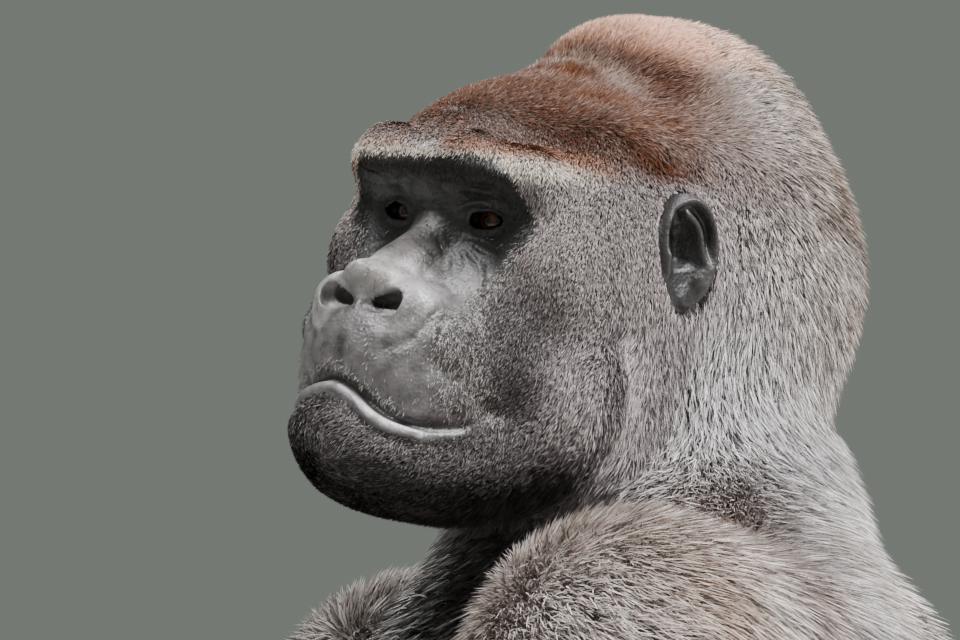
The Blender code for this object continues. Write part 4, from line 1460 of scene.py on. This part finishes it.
def nails(name, tips):
    """One piece with a nail for each tip."""
    top = grid_faces(ACROSS, ALONG)
    ring = [*range(ALONG), *range(2 * ALONG - 1, SHEET, ALONG)]
    ring += [*range(SHEET - 2, SHEET - ALONG - 1, -1), *range(SHEET - 2 * ALONG, 0, -ALONG)]
    a, b = np.array(ring), np.array(ring[1:] + ring[:1])
    wall = np.concatenate([np.column_stack([a, b, b + SHEET]), np.column_stack([a, b + SHEET, a + SHEET])])
    vertices, cells = [], []
    for number, tip in enumerate(tips):
        outer, inner = nail(*tip)
        vertices += [outer, inner]
        for sheet in (top[:, ::-1], top + SHEET, wall):
            cells.append(sheet + 2 * SHEET * number)
    finished(made(name, np.concatenate(vertices), np.concatenate(cells)), horn)


def nail_place(root, tip, back, radius):
    """Where a nail sits: the fingertip, the way it points, its back square to that, its radius."""
    along = one_long(tip - root)
    back = np.asarray(back, float)
    return tip, along, one_long(back - (back @ along) * along), radius


for side, word in SIDES:
    on_toes = [nail_place(root, tip, (0, 0, 1), radius - 0.03) for root, tip, _, radius in toes(side)]
    nails("toenails_" + word, on_toes)
    on_fingers = [nail_place(joint, tip, (0, 1, 0), 1.32) for *_, joint, tip in fingers(side)]
    _, root, tip, *_ = hand_forms(side)[-1]
    on_fingers.append(nail_place(root, tip, (-0.5 * side, -1.0, 0.3), 1.27))
    nails("fingernails_" + word, on_fingers)
print("nails: 5 on each hand and foot")

# %% [markdown]
# ## The coat, piece by piece
#
# Each piece of coat belongs to one stretch of the body and overlaps its neighbours by the
# length of its hair. The head has the finest hair and the most locks for its size.

# %% One piece of coat
BLADE = np.array([(0, 2, 1), (1, 2, 3)])
OUTLINE = np.array([(0.5, 0.0), (0.0, 0.5), (1.0, 0.5), (0.5, 1.0)])


def coat_piece(name, blade, tints, root, axis, slot):
    """A piece of coat: its blades' triangles, their colours, and a patch of the map for each."""
    cells = (BLADE[None] + 4 * np.arange(len(blade))[:, None, None]).reshape(-1, 3)
    piece = made(name, blade.reshape(-1, 3), cells, tints.reshape(-1, 3))
    uv = unwrapped(root, *axis)[:, None] + PATCH * OUTLINE[None]
    mapped(piece, "OFBake", uv.reshape(-1, 2)[cells.ravel()])
    finished(piece, hair[slot])


# %% [markdown]
# The skin's triangles are shared out among the stretches of coat by the part of the body
# they lie on, and on the head by their place. None grows where the coat has no depth.

# %% Stretches of the coat
centre = points[faces].mean(1)
part = shares(centre)
q = to_head(centre)
names = list(part)
strongest = np.argmax(np.stack([part[name] for name in names]), axis=0)
stretch = np.array(names, dtype=object)[strongest]
is_head = stretch == "head"
stretch[is_head & (q[:, 0] >= 0)] = "cheek_left"
stretch[is_head & (q[:, 0] < 0)] = "cheek_right"
stretch[is_head & (q[:, 1] > 13)] = "nape"
stretch[is_head & (q[:, 2] > 3.5) & (q[:, 1] <= 17)] = "crown"
is_trunk = stretch == "trunk"
stretch[is_trunk & (centre[:, 1] < 0)] = "front"
stretch[is_trunk & (centre[:, 1] >= 0)] = "back"
grows = smooth(coat_depth(centre, part), 0.02, 0.1) * (1 - on_ear(q))
print("the coat covers", round((areas * grows).sum() / areas.sum() * 100), "% of the skin")

# %% [markdown]
# Now the coat itself, as many locks to each stretch as its hair is fine and well in view.

# %% Coats
COATS = {
    # stretches of skin, number of locks, width in cm, grizzle, slot, axis of the unwrap
    "coat_crown": (["crown"], 92000, 0.055, 0.35, "crown_coat", ((-10, 10, 0), (10, 10, 0))),
    "coat_cheek_left": (["cheek_left"], 98000, 0.05, 1.0, "crown_coat", ((4, 10, -18), (4, 10, 8))),
    "coat_cheek_right": (["cheek_right"], 70000, 0.06, 1.0, "crown_coat", ((-4, 10, -18), (-4, 10, 8))),
    "coat_nape": (["nape"], 98000, 0.065, 1.45, "crown_coat", ((-10, 12, -4), (10, 12, -4))),
    "coat_neck": (["neck"], 92000, 0.08, 1.1, "silver_coat", ((-2, 3, 66), (0, 0, 96))),
    "coat_arm_left": (["arm_left"], 82000, 0.09, 0.9, "dark_coat", (SHOULDER[1] + (-12, 6, 8), ELBOW[1])),
    "coat_arm_right": (["arm_right"], 40000, 0.14, 0.9, "dark_coat", (SHOULDER[-1] + (12, 6, 8), ELBOW[-1])),
    "coat_back": (["back"], 52000, 0.2, 1.0, "silver_coat", ((0, 4, 0), (0, 4, 80))),
    "coat_front": (["front"], 30000, 0.2, 0.7, "silver_coat", ((0, 2, 0), (0, 2, 80))),
    "coat_forearm_left": (["forearm_left"], 16000, 0.2, 0.7, "dark_coat", (ELBOW[1], WRIST[1])),
    "coat_forearm_right": (["forearm_right"], 16000, 0.2, 0.7, "dark_coat", (ELBOW[-1], WRIST[-1])),
    "coat_leg_left": (["thigh_left", "shin_left"], 20000, 0.2, 0.7, "dark_coat", (HIP[1], KNEE[1])),
    "coat_leg_right": (["thigh_right", "shin_right"], 20000, 0.2, 0.7, "dark_coat", (HIP[-1], KNEE[-1])),
}
locks_made = 0
for number, (name, (stretches, count, width, grizzle, slot, axis)) in enumerate(COATS.items()):
    rng = np.random.default_rng(100 + number)
    weight = np.isin(stretch, stretches) * grows
    blade, tints, root = locks(weight, count, width, grizzle, rng)
    coat_piece(name, blade, tints, to_head(root) if slot == "crown_coat" else root, axis, slot)
    locks_made += count
    print(name, count, "locks,", round(count / max((areas * weight).sum(), 1), 1), "to the square cm")
print("triangles of coat:", 2 * locks_made)

# %% [markdown]
# The bare face isn't quite bare. Short stiff hairs stand on the brow, the cheeks' edge and
# the upper lip, all black on the brow and half of them pale round the mouth.

# %% Hairs of the bare face
rng = np.random.default_rng(300)
count = 15000
half = mirrored(q)
x, y, z = half.T
mask = bare_face(q) * is_head
to_edge = np.interp(z, MASK_Z, MASK_X) - x
near_edge = 1 - smooth(to_edge, 0.2, 1.5)
above_lip = z - np.interp(x, *np.transpose(MOUTH))
lips = smooth(above_lip, 0.25, 0.5) * (1 - smooth(above_lip, 0.6, 1.4)) * (1 - smooth(x, 3.0, 4.5))
brow = smooth(z, 1.8, 2.8)
weight = mask * (0.015 + 0.6 * near_edge + 0.3 * lips + 0.9 * brow) * (y < 4) * smooth(above_lip, 0.1, 0.4)
root, up = scattered(weight, count, rng)
way, across = combed(lie(root, shares(root)), up, rng.normal(0, 0.5, count))
length = rng.uniform(0.2, 0.5, count)[:, None]
broad = rng.uniform(0.012, 0.022, count)[:, None]
rising, lying = (way * 0.85 + up * 0.5) * length, (way * 0.97 + up * 0.22) * length
blade = blades(root, up, 0.04, rising, lying, across * broad)
root = to_head(root)
dark = (root[:, 2] > -1.0) | (rng.uniform(size=count) < 0.5)
own = np.where(dark[:, None], linear("242120"), linear("a39c98")) * rng.uniform(0.6, 1.2, count)[:, None]
tints = np.stack([own * 0.5, own, own, own * 1.2], 1)
coat_piece("coat_face", blade, tints, root, ((0, 4, -16), (0, 4, 6)), "dark_coat")
print("coat_face", count, "hairs")

# %% [markdown]
# ## The room, the light and the camera
#
# A pale floor and a plain light room. The key is a big soft light high on his left and
# behind him, which rims the crown and the nose. A second one stands high in front and a
# weak one on his right. Large lights keep the shadows between the locks soft. The floor is
# painted board, clouded a little every 30 cm.

# %% Floor and room
floor_material, tree, shader = new_material("pale_floor", Roughness=0.7)
place = node(tree, "ShaderNodeTexCoord")
cloud = node(tree, "ShaderNodeTexNoise", Vector=place.outputs["Object"], Scale=per_mm(300.0), Detail=4.0)
ramp = node(tree, "ShaderNodeValToRGB", Fac=cloud.outputs["Fac"])
set_stops(ramp, ((0.0, "c5c4c0"), (1.0, "cdccc8")))
tree.links.new(ramp.outputs["Color"], shader.inputs["Base Color"])
FLOOR = 700.0  # half its side, in centimetres
rows = np.array([(-1, -1, 0), (1, -1, 0), (1, 1, 0), (-1, 1, 0)]) * FLOOR
floor = made("floor", rows - ORIGIN * (1, 1, 0), np.array([(0, 1, 2), (0, 2, 3)]), flat=True)
floor.data.materials.append(floor_material)

world = bpy.data.worlds.new("room")
world.use_nodes = True
walls = world.node_tree.nodes["Background"].inputs
walls["Color"].default_value = (*linear("aeb5ad"), 1.0)
walls["Strength"].default_value = 0.42
bpy.context.scene.world = world
print("floor:", 2 * FLOOR * CM, "m across")

# %% [markdown]
# A light and a camera are placed the same way: Blender points both down their own -Z, so a
# turn that brings -Z onto the direction wanted does for either.

# %% Lights
def stood(name, data, place, way):
    """A light or camera at a place, in metres, that looks along way."""
    added = bpy.data.objects.new(name, data)
    added.location = place
    added.rotation_mode = "QUATERNION"
    added.rotation_quaternion = way.to_track_quat("-Z", "Y")
    bpy.context.scene.collection.objects.link(added)
    return added


def softbox(name, place, aim, power, size):
    """A round area light that faces aim."""
    data = bpy.data.lights.new(name, "AREA")
    data.energy = power
    data.shape = "DISK"
    data.size = size
    stood(name, data, place, aim - place)


LIGHTS = {
    # where it stands from the middle of the head and how wide it is, in metres; its watts
    "key": ((1.3, 1.7, 2.0), 1.1, 210),
    "front": ((0.9, -1.2, 2.9), 1.3, 150),
    "rim": ((-1.6, 0.2, 2.0), 1.2, 45),
}
head_middle = Vector((from_head((0, 8, -3)) + ORIGIN) * CM)
for name, (way, size, power) in LIGHTS.items():
    softbox(name, head_middle + Vector(way), head_middle, power, size)
print("lights:", ", ".join(LIGHTS))

# %% [markdown]
# The camera stands 8 m off on his left, a little in front and level with his head. From
# there a long lens takes in the head and shoulders, and what is nearer is hardly drawn
# larger, as on a portrait.

# %% Camera
AZIMUTH = math.radians(75.0)
RANGE = 8.0
FIELD = 9.6 / 17  # metres across what it sees
SENSOR = 36.0  # millimetres
AIM_RIGHT, AIM_BELOW = 0.0194, 0.0612  # metres from between his eyes to what it aims at
back = Vector((math.sin(AZIMUTH), -math.cos(AZIMUTH), 0))
right = Vector((math.cos(AZIMUTH), math.sin(AZIMUTH), 0))
eyes = Vector((EYES + ORIGIN) * CM)
aim = eyes + right * AIM_RIGHT - Vector((0, 0, AIM_BELOW))
data = bpy.data.cameras.new("camera")
data.lens = SENSOR * RANGE / FIELD
bpy.context.scene.camera = stood("camera", data, aim + back * RANGE, -back)
print("lens:", round(data.lens), "mm")
